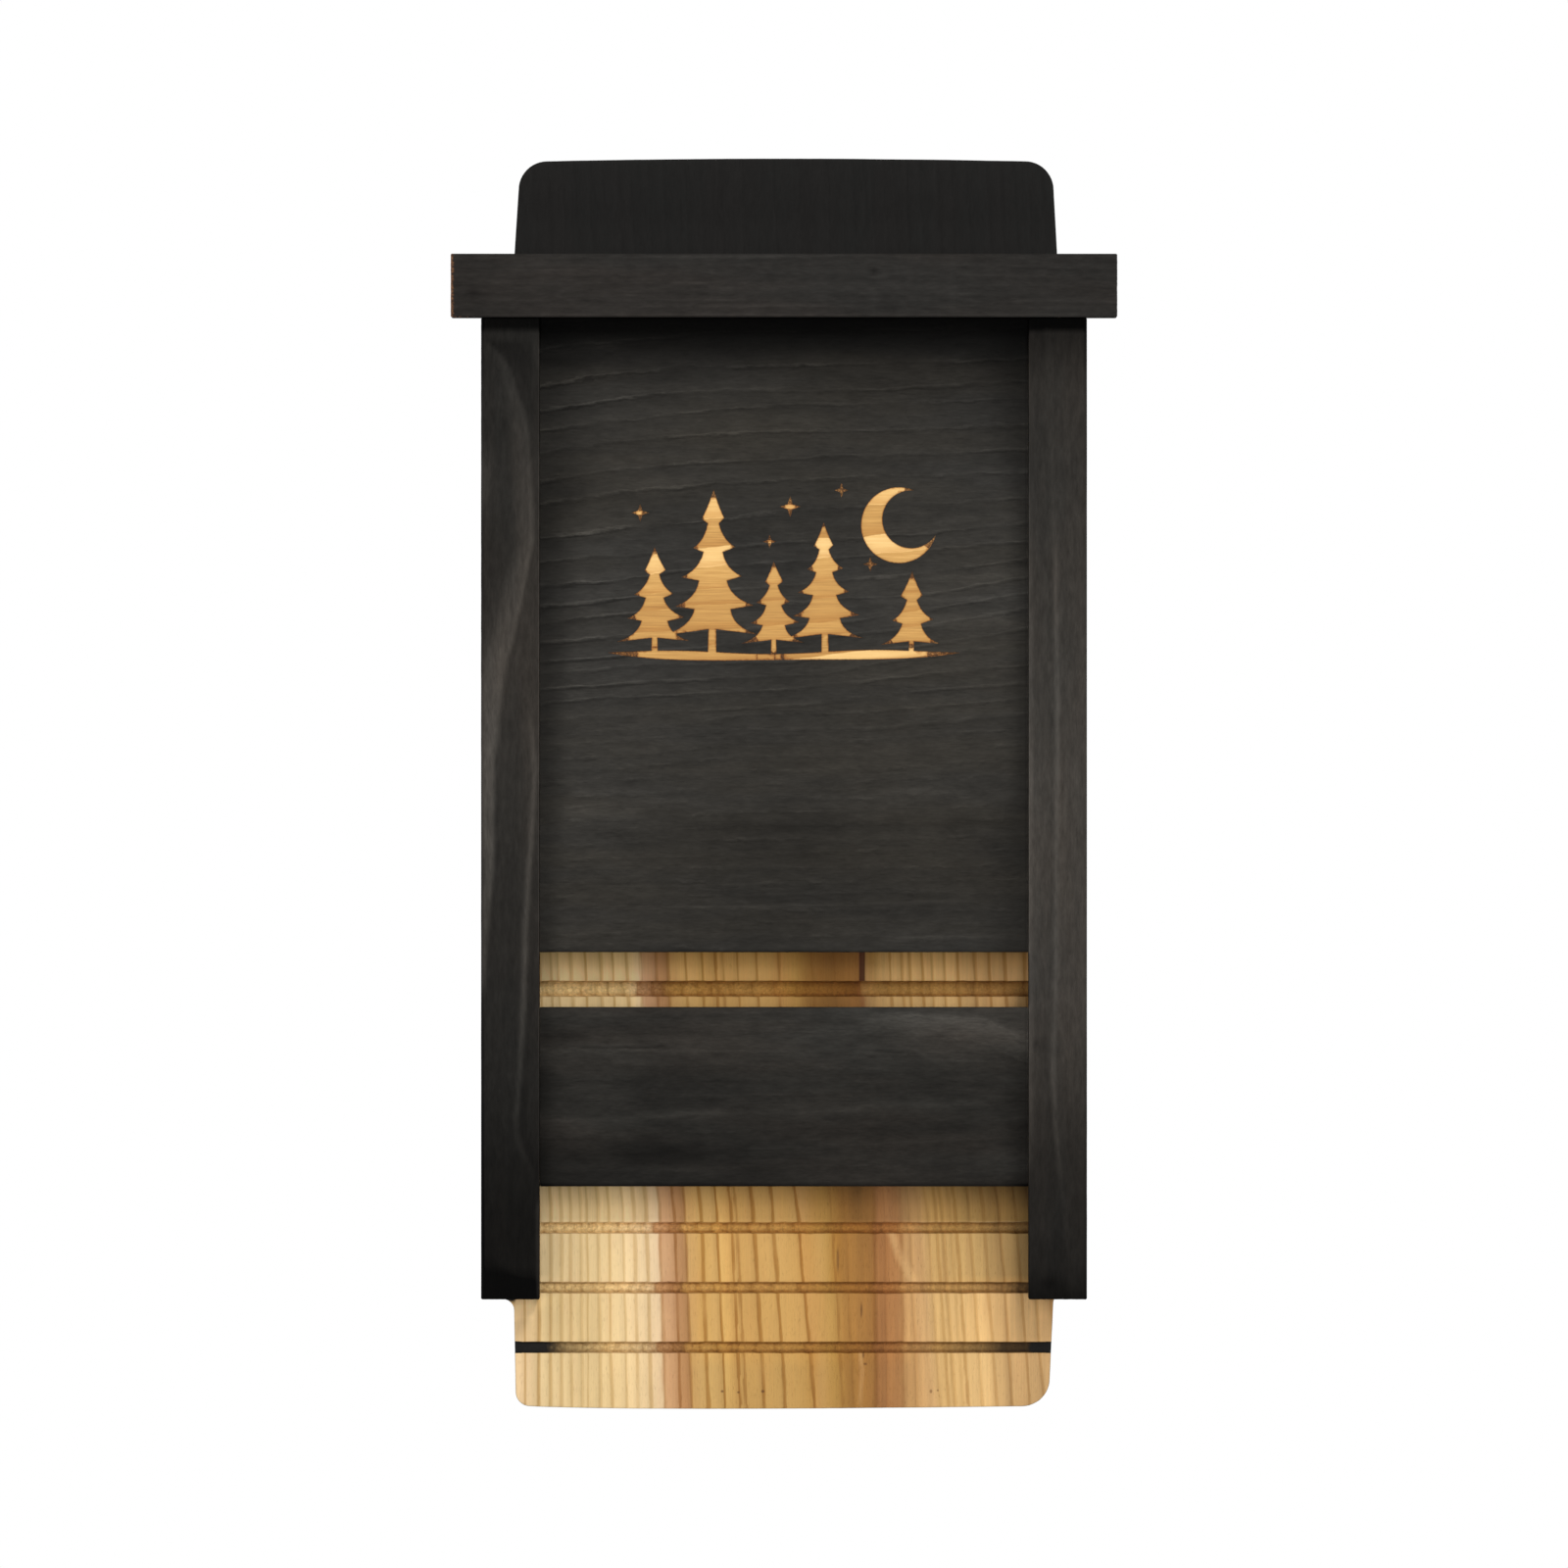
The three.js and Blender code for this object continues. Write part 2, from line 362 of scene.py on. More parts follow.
GROOVE_PITCH, GROOVE_FIRST, GROOVE_COUNT, VENT_GROOVE = 29.14, -274.7, 17, 6


class Mat:
    def __init__(self, name, **constants):
        self.mat = bpy.data.materials.new(name)
        self.mat.use_nodes = True
        self.tree = self.mat.node_tree
        self.tree.nodes.clear()
        self.out = self.tree.nodes.new("ShaderNodeOutputMaterial")
        self.bsdf = self.tree.nodes.new("ShaderNodeBsdfPrincipled")
        self.tree.links.new(self.bsdf.outputs[0], self.out.inputs["Surface"])
        for k, v in constants.items():
            self.bsdf.inputs[k.replace("_", " ")].default_value = v
        self._p = None

    def set(self, socket, value):
        if isinstance(value, Val):
            self.tree.links.new(value.socket, socket)
        elif value is not None:
            socket.default_value = value

    def math(self, op, a, b=None, c=None, clamp=False):
        n = self.tree.nodes.new("ShaderNodeMath")
        n.operation = op
        n.use_clamp = clamp
        for i, x in enumerate((a, b, c)):
            if x is not None:
                self.set(n.inputs[i], x)
        return Val(self, n.outputs[0])

    def vmath(self, op, a, b=None, scale=None):
        n = self.tree.nodes.new("ShaderNodeVectorMath")
        n.operation = op
        self.set(n.inputs[0], a)
        if b is not None:
            self.set(n.inputs[1], b)
        if scale is not None:
            self.set(n.inputs["Scale"], scale)
        return Val(self, n.outputs["Value" if op in ("LENGTH", "DISTANCE", "DOT_PRODUCT") else "Vector"])

    def attr(self, name):
        n = self.tree.nodes.new("ShaderNodeAttribute")
        n.attribute_name = name
        return Val(self, n.outputs["Fac"])

    def place(self):
        """Where the point is in the object, in millimetres: x, y and z."""
        if self._p is None:
            t = self.tree.nodes.new("ShaderNodeTexCoord")
            v = self.vmath("SCALE", Val(self, t.outputs["Object"]), scale=1000.0)
            s = self.tree.nodes.new("ShaderNodeSeparateXYZ")
            self.set(s.inputs[0], v)
            self._p = [Val(self, s.outputs[i]) for i in range(3)]
        return self._p

    def vec(self, x, y, z):
        n = self.tree.nodes.new("ShaderNodeCombineXYZ")
        for i, a in enumerate((x, y, z)):
            self.set(n.inputs[i], a)
        return Val(self, n.outputs[0])

    def noise(self, x, y, z, detail=2.0, rough=0.5, twist=0.0):
        n = self.tree.nodes.new("ShaderNodeTexNoise")
        self.set(n.inputs["Vector"], self.vec(x, y, z))
        n.inputs["Scale"].default_value = 1.0
        n.inputs["Detail"].default_value = detail
        n.inputs["Roughness"].default_value = rough
        n.inputs["Distortion"].default_value = twist
        return Val(self, n.outputs["Fac"])

    def cells(self, x, y, z, feature="F1"):
        n = self.tree.nodes.new("ShaderNodeTexVoronoi")
        n.feature = feature
        self.set(n.inputs["Vector"], self.vec(x, y, z))
        n.inputs["Scale"].default_value = 1.0
        return Val(self, n.outputs["Distance"])

    def random(self, w):
        n = self.tree.nodes.new("ShaderNodeTexWhiteNoise")
        n.noise_dimensions = "1D"
        self.set(n.inputs["W"], w)
        return Val(self, n.outputs["Value"])

    def smooth(self, x, lo, hi, a=0.0, b=1.0):
        n = self.tree.nodes.new("ShaderNodeMapRange")
        n.interpolation_type = "SMOOTHSTEP"
        for k, v in (("Value", x), ("From Min", lo), ("From Max", hi), ("To Min", a), ("To Max", b)):
            self.set(n.inputs[k], v)
        return Val(self, n.outputs["Result"])

    def abs(self, x):
        return self.math("ABSOLUTE", x)

    def lerp(self, f, a, b):
        return a + (b - a) * f if isinstance(f, Val) else None

    def mix(self, f, a, b, mode="MIX"):
        n = self.tree.nodes.new("ShaderNodeMix")
        n.data_type = "RGBA"
        n.blend_type = mode
        n.clamp_factor = True
        self.set(n.inputs[0], f)
        self.set(n.inputs[6], a)
        self.set(n.inputs[7], b)
        return Val(self, n.outputs[2])

    def gain(self, colour, value):
        if not isinstance(colour, Val):
            colour = colour[:3]
        return self.vmath("SCALE", colour, scale=value)

    def ramp(self, f, stops):
        n = self.tree.nodes.new("ShaderNodeValToRGB")
        e = n.color_ramp.elements
        while len(e) > 1:
            e.remove(e[-1])
        e[0].position, e[0].color = stops[0][0], stops[0][1]
        for at, colour in stops[1:]:
            x = e.new(at)
            x.color = colour
        self.set(n.inputs[0], f)
        return Val(self, n.outputs[0])

    def bump(self, height, distance, strength=1.0):
        n = self.tree.nodes.new("ShaderNodeBump")
        n.inputs["Strength"].default_value = strength
        n.inputs["Distance"].default_value = distance
        self.set(n.inputs["Height"], height)
        self.tree.links.new(n.outputs[0], self.bsdf.inputs["Normal"])

    def colour(self, value):
        self.set(self.bsdf.inputs["Base Color"], value)

    def roughness(self, value):
        self.set(self.bsdf.inputs["Roughness"], value)


def stained(
    name,
    grain,
    cool,
    warm,
    lite_gain=0.75,
    dark_gain=0.42,
    fibre=0.34,
    broad=0.30,
    line=0.95,
    nicks=1.0,
    blotch=0.85,
    bare=False,
):
    """Black water stain on planed wood, with its grain showing through."""
    m = Mat(name, Specular_IOR_Level=0.045)
    x, y, z = m.place()
    along, a1, a2 = (x, y, z) if grain == "x" else (z, x, y)
    ring, gap = m.attr("ring"), m.attr("gap")
    tone, amp, tint = m.attr("tone"), m.attr("amp"), m.attr("tint")
    rough = m.attr("broken")
    wob = m.noise(along * 0.045, a1 * 0.35, a2 * 0.35, 3.0)
    jag = m.noise(along * 0.19, a1 * 0.55, a2 * 0.55, 3.0, 0.6)
    r = ring + (wob - 0.5) * 0.30 + (jag - 0.5) * (rough * 0.42 + 0.14)
    whole = m.math("FLOOR", r + 0.5)
    d = (r - whole) * gap
    dash = m.smooth(m.noise(along * 0.028, whole * 3.71, 0.0, 2.0), 0.34, 0.60)
    snap = m.smooth(m.noise(along * 0.085, whole * 5.3 + 9.0, 0.0, 3.0), 0.44, 0.62)
    k = amp * dash * (snap * rough + 1.0 - rough)
    wide = m.noise(along * 0.05, whole * 1.3, 4.0, 1.0)
    # lite is the pale latewood line, partly a painted highlight on its raised ridge; dark is a painted shadow beside
    # each ridge
    lite = m.smooth(m.abs(d), wide * line * 1.6 + 0.12, 0.0) * k
    dark = m.smooth(m.abs(d - (line * 0.9 + 0.45)), 0.85, 0.05) * k
    fib = m.noise(along * 0.11, a1 * 1.9, a2 * 1.9, 5.0, 0.66)
    mottle = m.noise(along * 0.09, a1 * 0.32, a2 * 0.32, 4.0, 0.6)
    dash_ = m.noise(along * 0.26, a1 * 0.95, a2 * 0.95, 2.0, 0.5)
    pore = m.smooth(m.noise(along * 0.16, a1 * 4.2, a2 * 4.2, 1.0), 0.66, 0.80)
    nick = m.noise(along * 0.075, a1 * 0.95, a2 * 0.95, 2.0, 0.5)
    pale = m.smooth(nick, 0.60, 0.74)
    deep = m.smooth(nick, 0.38, 0.26)
    band = m.noise(along * 0.012, a1 * 0.14, a2 * 0.14, 3.0, 0.55)
    part = m.math("FRACT", r)
    grade = m.smooth(part, 0.0, 1.0)
    value = m.math("MAXIMUM", tone + 1.0, 0.03) * ((fib - 0.5) * fibre + 1.0)
    value = value * ((band - 0.5) * broad + 1.0)
    value = value * ((mottle - 0.5) * blotch + 1.0) * ((dash_ - 0.5) * (blotch * 0.5) + 1.0)
    value = value * ((grade - 0.5) * 0.22 * amp + 1.0)
    value = value * (pale * 0.16 * nicks + 1.0) * (deep * -0.20 * nicks + 1.0)
    value = value * (lite * lite_gain + 1.0) * (dark * -dark_gain + 1.0)
    value = value * (pore * -0.10 + 1.0)
    hue = m.noise(along * 0.008, a1 * 0.05, a2 * 0.05, 2.0)
    hue = m.smooth(hue, 0.35, 0.70) * 0.6 + tint
    col = m.gain(m.mix(hue, cool, warm), value)
    if bare:
        n = m.noise(x * 0.8, y * 0.3, z * 0.9, 3.0, 0.6)
        tan = m.ramp(n, [(0.30, rgb(58, 42, 33)), (0.5, rgb(98, 68, 48)), (0.75, rgb(134, 96, 66))])
        col = m.mix(m.smooth(m.attr("bare") + (n - 0.5) * 0.5, 0.4, 0.7), col, tan)
    m.colour(col)
    m.roughness((fib - 0.5) * 0.16 + 0.74 - lite * 0.06)
    m.bump(fib * 0.32 + lite * 0.40 - dark * 0.35 - pore * 0.5 - deep * 0.25, 0.00014)
    return m.mat


def natural(name):
    """Bare cedar with upright rings. Its tone runs from cream sapwood through
    a pink streak to golden and brown heartwood, ring by ring."""
    m = Mat(name, Specular_IOR_Level=0.28)
    x, y, z = m.place()
    ring, gap, uref = m.attr("ring"), m.attr("gap"), m.attr("uref")
    depth, soot, smudge = m.attr("depth"), m.attr("soot"), m.attr("smudge")
    wob = m.noise(x * 0.25, y * 0.25, z * 0.035, 3.0)
    r = ring + (wob - 0.5) * 0.26
    whole = m.math("FLOOR", r + 0.5)
    d = (r - whole) * gap
    part = m.math("FRACT", r)
    cell = m.math("FLOOR", r)
    own = m.random(whole * 1.37 + 0.5)
    width = own * 0.70 + 0.85
    force = m.attr("force")
    frail = m.smooth(m.noise(z * 0.03, whole * 5.1, 2.0, 2.0), 0.20, 0.48)
    line = m.smooth(m.abs(d), width, width * 0.30) * force * (frail * 0.65 + 0.35)
    halo = m.smooth(m.abs(d + 0.9), 2.2, 0.1) * force
    # tone by place, with ragged borders that keep to the rings
    place = uref + (m.noise(x * 0.3, 0.0, z * 0.06, 3.0) - 0.5) * 7.0
    lo, hi = 480.0, 1120.0

    def at(u):
        return (u - lo) / (hi - lo)

    stops = [
        (500, (226, 193, 146)),
        (532, (232, 200, 155)),
        (556, (224, 197, 148)),
        (604, (226, 197, 145)),
        (628, (239, 209, 156)),
        (664, (240, 211, 167)),
        (675.4, (238, 208, 169)),
        (678.0, (208, 164, 122)),
        (691.8, (198, 152, 110)),
        (694.8, (187, 140, 95)),
        (704.2, (180, 134, 88)),
        (706.4, (203, 160, 100)),
        (713, (206, 163, 102)),
        (721, (216, 174, 108)),
        (733, (217, 174, 108)),
        (741, (215, 172, 103)),
        (752, (205, 160, 94)),
        (800, (211, 168, 102)),
        (829, (206, 161, 94)),
        (832, (198, 150, 86)),
        (854, (186, 144, 76)),
        (864, (164, 119, 58)),
        (893, (162, 114, 58)),
        (897, (165, 113, 65)),
        (917, (174, 123, 74)),
        (928, (199, 154, 101)),
        (950, (205, 164, 113)),
        (961, (214, 174, 114)),
        (1004, (224, 184, 124)),
        (1028, (201, 161, 107)),
        (1064, (203, 163, 110)),
        (1100, (192, 150, 102)),
    ]
    f = (place - lo) * (1.0 / (hi - lo))
    base = m.ramp(f, [(at(u), rgb(*c)) for u, c in stops])
    tone = (m.random(cell * 1.91 + 3.3) - 0.5) * 0.13 + 1.0
    grade = m.smooth(part, 0.35, 1.0, 1.015, 0.945)
    fib = m.noise(x * 2.6, y * 2.6, z * 0.05, 4.0, 0.6)
    soft = m.noise(x * 0.42, y * 0.42, z * 0.012, 3.0, 0.6)
    tick = m.smooth(m.noise(x * 5.5, y * 5.5, z * 0.30, 1.0), 0.64, 0.78)
    cloud = m.noise(x * 0.05, y * 0.1, z * 0.03, 3.0, 0.55)
    value = tone * grade * ((fib - 0.5) * 0.28 + 1.0) * (tick * -0.07 + 1.0)
    value = value * ((cloud - 0.5) * 0.20 + 1.0)
    value = value * ((soft - 0.5) * (m.attr("streak") * 0.42) + 1.0)
    shade = m.attr("tone")
    col = m.gain(base, value)
    blush = m.smooth(m.noise(x * 0.16, y * 0.16, z * 0.03, 3.0, 0.6), 0.48, 0.72)
    col = m.mix(blush * 0.5, col, m.mix(1.0, col, (1.0, 0.945, 0.95, 1.0), "MULTIPLY"))
    col = m.mix(1.0, col, m.vec(shade * 0.95 + 1.0, shade * 0.70 + 1.0, shade * 0.30 + 1.0), "MULTIPLY")
    # painted shade: these darken and warm the colour where shade falls, set strip by strip on the board, along with
    # some of the rings' own colour
    amber, lit = m.attr("amber"), 1.0 - m.attr("dim")
    col = m.mix(1.0, col, m.vec((1.0 - amber * 0.04) * lit, (1.0 - amber * 0.09) * lit, (1.0 - amber * 0.22) * lit), "MULTIPLY")
    col = m.mix(halo * 0.28, col, m.mix(1.0, col, (0.74, 0.62, 0.45, 1.0), "MULTIPLY"))
    col = m.mix(line * (1.0 - m.smooth(depth, 1.0, 2.0) * 0.55), col, m.mix(1.0, col, (0.55, 0.40, 0.14, 1.0), "MULTIPLY"))
    flame = m.attr("flame")
    rag = m.noise(x * 0.5, y * 0.5, z * 0.06, 3.0, 0.55)
    flame = m.smooth(flame + (rag - 0.5) * 0.55, 0.25, 0.80)
    col = m.mix(flame * 0.85, col, m.gain(m.mix(rag, rgb(150, 97, 47), rgb(178, 124, 72)), value))
    pale = m.smooth(m.attr("pale") + (rag - 0.5) * 0.4, 0.2, 0.8)
    col = m.mix(pale * 0.7, col, m.gain(rgb(219, 174, 116), value))
    # small knots and flecks
    marks = None
    for u, v, ru, rv, k in (
        (737, 1420, 1.1, 0.9, 0.8), (753.5, 1421, 1.0, 0.8, 0.8), (778.5, 1420, 1.2, 1.1, 0.9),
        (879, 1337, 0.8, 5.5, 0.7), (881, 1383, 0.8, 2.4, 0.7), (883, 1392, 1.3, 0.9, 0.7),
        (950, 1420, 1.0, 1.4, 0.6), (957, 1419, 0.7, 0.8, 0.6), (855, 1286, 1.0, 9.0, 0.55),
        (879.5, 985, 1.5, 60.0, 0.0),
    ):
        if not k:
            continue
        e = m.math(
            "SQRT",
            m.math("POWER", (x - X(u)) * (1.0 / ru), 2.0) + m.math("POWER", (z - Z(v)) * (1.0 / rv), 2.0),
        )
        s = m.smooth(e, 1.0, 0.25) * k
        marks = s if marks is None else m.math("MAXIMUM", marks, s)
    col = m.mix(marks, col, rgb(96, 58, 24))
    # the open check above the vent's groove
    check = m.smooth(m.abs(x - X(879.7) + (fib - 0.5) * 0.5), 1.75, 1.15)
    check = check * m.smooth(z, Z(1001.5), Z(1000.5)) * m.smooth(z, -30.0, -60.0)
    col = m.mix(check * 0.93, col, rgb(84, 42, 16))
    # claw grooves: a torn, blotched floor that is darkest along both cut edges
    floor = m.smooth(depth, 1.2, 2.1)
    wall = m.smooth(depth, 0.12, 0.55)
    blot = m.noise(x * 0.75, z * 0.85, 5.0, 4.0, 0.65)
    torn = m.cells(x * 0.50, z * 0.55, 3.0)
    rim = m.smooth(torn, 0.50, 0.80)
    in_groove = m.mix(1.0, col, (0.85, 0.79, 0.63, 1.0), "MULTIPLY")
    in_groove = m.gain(in_groove, (blot - 0.5) * 1.10 + 1.0)
    torn_at = m.smooth(uref, 930.0, 700.0) * 0.26 + 0.12
    in_groove = m.mix(rim * torn_at, in_groove, m.mix(1.0, in_groove, (0.50, 0.38, 0.24, 1.0), "MULTIPLY"))
    col = m.mix(floor, col, in_groove)
    half, chip = m.attr("half"), m.attr("chip")
    saw = m.math("ROUND", (z - GROOVE_FIRST) * (1.0 / GROOVE_PITCH))
    off = z - chip - (saw * GROOVE_PITCH + GROOVE_FIRST)
    fray = (m.noise(x * 0.55, z * 0.5, 1.0, 3.0, 0.6) - 0.5) * 1.1
    # dark lines along both cut edges: the top one is painted shadow under the lip, the bottom one a dark line of the
    # cut itself; skirt is wider painted shade on the floor beside both walls
    above = m.abs(off - (half - 1.08) + fray * 0.6)
    below = m.abs(off + (half - 1.05) - fray * 0.6)
    edge_line = m.math("MAXIMUM", m.smooth(above, 1.30, 0.15) * 0.86, m.smooth(below, 1.15, 0.15) * 0.92)
    edge_line = edge_line * m.smooth(uref, 640.0, 720.0, 0.80, 1.0)
    skirt = m.math("MAXIMUM", m.smooth(above, 2.6, 0.6), m.smooth(below, 2.3, 0.6))
    edge_dark_and_shade = m.mix(1.0, col, (0.50, 0.38, 0.25, 1.0), "MULTIPLY")
    worn_edge = m.smooth(m.noise(x * 0.22, saw * 3.7, 6.0, 2.0), 0.25, 0.60) * 0.30 + 0.70
    col = m.mix(wall * m.math("MAXIMUM", edge_line * worn_edge * 0.88, skirt * 0.30), col, edge_dark_and_shade)
    speck = m.smooth(m.noise(x * 1.5, z * 1.3, 8.0, 2.0), 0.62, 0.74) * floor
    col = m.mix(speck * 0.78, col, m.gain(col, 1.5))
    pit = m.smooth(m.noise(x * 1.1, z * 1.3, 14.0, 2.0), 0.36, 0.25) * floor
    col = m.mix(pit * 0.75, col, m.mix(1.0, col, (0.50, 0.42, 0.30, 1.0), "MULTIPLY"))
    # stain that crept in from the edges and a grey water mark, both mixed with painted shade by the rails and under the
    # rails' ends
    creep = m.noise(x * 0.5, y * 0.5, z * 0.5, 3.0, 0.6)
    black = m.smooth(soot + (creep - 0.5) * 0.35, 0.25, 0.62)
    veil = m.smooth(soot + (creep - 0.5) * 0.25, 0.0, 0.5)
    col = m.mix(veil * 0.55, col, m.mix(1.0, col, (0.45, 0.40, 0.34, 1.0), "MULTIPLY"))
    col = m.mix(black, col, rgb(22, 20, 18))
    grey = m.noise(x * 0.18, y * 0.2, z * 0.05, 4.0, 0.62)
    m2 = m.smooth(smudge * (grey * 1.2 + 0.3), 0.05, 0.95)
    col = m.mix(m2 * 0.72, col, m.mix(1.0, col, (0.36, 0.36, 0.34, 1.0), "MULTIPLY"))
    m.colour(col)
    m.roughness((fib - 0.5) * 0.20 + 0.70 + floor * 0.12)
    m.bump(fib * 0.30 - line * 0.35 - tick * 0.40 - rim * floor * 0.5 + blot * floor * 0.8, 0.00022)
    return m.mat


def engraved(name):
    """The cut floor of the ornament: bare golden wood with scorched borders."""
    m = Mat(name, Specular_IOR_Level=0.25)
    x, y, z = m.place()
    ring, gap, edge = m.attr("ring"), m.attr("gap"), m.attr("edge")
    wob = m.noise(x * 0.045, y * 0.35, z * 0.35, 3.0)
    r = ring * 1.0 + (wob - 0.5) * 0.30
    part = m.math("FRACT", r)
    cell = m.math("FLOOR", r)
    fib = m.noise(x * 0.05, y * 1.6, z * 1.6, 4.0, 0.62)
    late = m.smooth(part, 0.55, 0.95) * m.smooth(part, 1.0, 0.95)
    f = m.random(cell * 3.3 + 1.7) * 0.45 + fib * 0.55
    col = m.ramp(
        f,
        [
            (0.10, rgb(166, 118, 60)),
            (0.38, rgb(205, 156, 87)),
            (0.62, rgb(236, 189, 116)),
            (0.90, rgb(252, 214, 148)),
        ],
    )
    col = m.mix(late * 0.45, col, m.mix(1.0, col, (0.70, 0.52, 0.34, 1.0), "MULTIPLY"))
    rag = (m.noise(x * 1.4, y * 1.4, z * 1.4, 2.0) - 0.5) * 0.5
    burn = m.smooth(edge + rag, 0.70, 0.05)
    char = m.smooth(edge + rag, 0.16, -0.05)
    col = m.mix(burn * 0.75, col, m.mix(1.0, col, (0.52, 0.30, 0.14, 1.0), "MULTIPLY"))
    col = m.mix(char * 0.85, col, rgb(48, 26, 12))
    m.colour(col)
    m.roughness((fib - 0.5) * 0.2 + 0.68)
    m.bump(fib * 0.6 - late * 0.4, 0.00018)
    return m.mat


def scorched(name):
    m = Mat(name, Specular_IOR_Level=0.2)
    x, y, z = m.place()
    n = m.noise(x * 0.9, y * 2.0, z * 0.9, 3.0, 0.6)
    m.colour(m.ramp(n, [(0.25, rgb(30, 17, 9)), (0.55, rgb(66, 36, 15)), (0.8, rgb(110, 66, 28))]))
    m.roughness(n * 0.2 + 0.65)
    m.bump(n, 0.0001)
    return m.mat


def steel(name):
    """Tan coated screw steel, rubbed bright on the head's rim and recess."""
    m = Mat(name, Specular_IOR_Level=0.5)
    x, y, z = m.place()
    worn = m.attr("worn")
    n = m.noise(x * 1.2, y * 1.2, z * 1.2, 4.0, 0.6)
    fine = m.noise(x * 7.0, y * 7.0, z * 7.0, 2.0)
    coat = m.ramp(n, [(0.3, rgb(104, 92, 66)), (0.55, rgb(138, 124, 92)), (0.8, rgb(160, 148, 116))])
    bare = m.ramp(fine, [(0.3, rgb(96, 94, 92)), (0.7, rgb(176, 174, 170))])
    w = m.smooth(worn + (n - 0.5) * 0.8, 0.35, 0.75)
    m.colour(m.mix(w, coat, bare))
    m.set(m.bsdf.inputs["Metallic"], w * 0.35 + 0.6)
    m.roughness((fine - 0.5) * 0.18 + 0.42 - w * 0.10)
    m.bump(fine * 0.5 + n * 0.5, 0.00003)
    return m.mat


BLACK_PANEL = stained("stained_panel", "x", rgb(48, 46.5, 44), rgb(54, 51, 46), 0.80, 0.45, fibre=0.25, nicks=0.85)
BLACK_LOWER = stained("stained_lower_panel", "x", rgb(46, 44.5, 41.5), rgb(53, 48.5, 44), 0.50, 0.35, fibre=0.21, nicks=0.80, blotch=1.05)
BLACK_ROOF = stained("stained_roof", "x", rgb(42, 40.5, 38.5), rgb(46, 42, 39), 0.50, 0.32, fibre=0.07, broad=0.36, nicks=0.40, blotch=0.90, bare=True)
BLACK_RAIL = stained("stained_rail", "z", rgb(43, 41.5, 39), rgb(50, 46, 42), 0.30, 0.28, fibre=0.20, broad=0.18, nicks=0.45, blotch=0.95)
BLACK_BOARD = stained("stained_board", "z", rgb(31.5, 31, 30), rgb(32.5, 31, 30), 0.20, 0.30, fibre=0.16, broad=0.14, nicks=0.3, blotch=0.38)
BLACK_BACK = stained("stained_back", "z", rgb(40, 38.5, 36), rgb(52, 46, 40), 0.45, 0.50, fibre=0.34, broad=0.42, nicks=0.8, blotch=0.85)
NATURAL = natural("natural_cedar")
ENGRAVED = engraved("engraved_cedar")
SCORCHED = scorched("scorched_cedar")
STEEL = steel("screw_steel")


# ------------------------------------------------------------- screw places
SCREW_NODES = {}
for name in sorted(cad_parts):
    if "_screw_" in name:
        lo, hi = box_mm(name)
        mid = (lo + hi) / 2
        if "rear" in name:
            face, axis, length = np.array([mid[0], hi[1], mid[2]]), np.array([0.0, 1, 0]), hi[1] - lo[1]
        elif "roof" in name:
            face, axis, length = np.array([mid[0], mid[1], hi[2]]), np.array([0.0, 0, 1]), hi[2] - lo[2]
        elif "left" in name:
            face, axis, length = np.array([lo[0], mid[1], mid[2]]), np.array([-1.0, 0, 0]), hi[0] - lo[0]
        else:
            face, axis, length = np.array([hi[0], mid[1], mid[2]]), np.array([1.0, 0, 0]), hi[0] - lo[0]
        SCREW_NODES[name] = (face, axis, length)


def holes(*words):
    """Countersunk holes for the screws whose names hold any of these words."""
    out = []
    for name, (face, axis, length) in SCREW_NODES.items():
        if any(all(w in name for w in word.split("+")) for word in words):
            out.append(
                lathe(
                    [
                        (0, -length - 0.6), (2.4, -length - 0.6), (2.4, -3.05), (4.3, -0.55),
                        (4.3, 5.0), (0, 5.0),
                    ],
                    32, face, axis,
                )
            )
    return out


# ----------------------------------------------------------------- ornament
def fir(cx, base, height, width, tiers, skew=0.0):
    """Outline of a fir tree with sagging tiers and a short trunk."""
    trunk, half = 0.13 * height, max(0.9, 0.045 * width)
    z0, crown = base + trunk, height - trunk

    def half_side(s, k):
        pts = [(half * s, base), (half * s * 0.9, z0 + 0.02 * crown)]
        for t in range(tiers):
            f0 = t / tiers
            w = width / 2 * (1 - f0) ** 0.9 * (1 + k * (0.05 if t % 2 else -0.04))
            tip = (w * s, z0 + crown * f0 - 0.02 * crown * (1 - f0) + k * 0.25)
            top = 1.0 if t == tiers - 1 else f0 + 0.80 / tiers
            nxt = width / 2 * (1 - (t + 1) / tiers) ** 0.9
            notch = (0.0 if t == tiers - 1 else max(half * 1.3, 0.46 * nxt) * s, z0 + crown * top)
            bend = 0.30 if t < tiers - 1 else 0.42
            c = (w * 0.44 * s, tip[1] + bend * (notch[1] - tip[1]))
            for q in np.linspace(0, 1, 7):
                a, b, d = (1 - q) ** 2, 2 * q * (1 - q), q * q
                pts.append((a * tip[0] + b * c[0] + d * notch[0], a * tip[1] + b * c[1] + d * notch[1]))
        return pts

    right, left = half_side(1, 1), half_side(-1, -1)
    pts = right + left[::-1][1:]
    return [(cx + x + skew * (z - base), z) for x, z in pts]


def ground(x0, x1, z, thick):
    xs = np.linspace(x0, x1, 60)
    t = (xs - x0) / (x1 - x0)
    env = np.sin(np.pi * t) ** 0.8
    top = z + 1.3 * np.sin(t * 9.0 + 0.6) * env + 0.6 * env
    bottom = z - thick * env * (0.75 + 0.25 * np.sin(t * 5.0 + 2.0)) - 0.05
    return list(zip(xs, top + 0.02)) + list(zip(xs[::-1][1:-1], bottom[::-1][1:-1]))


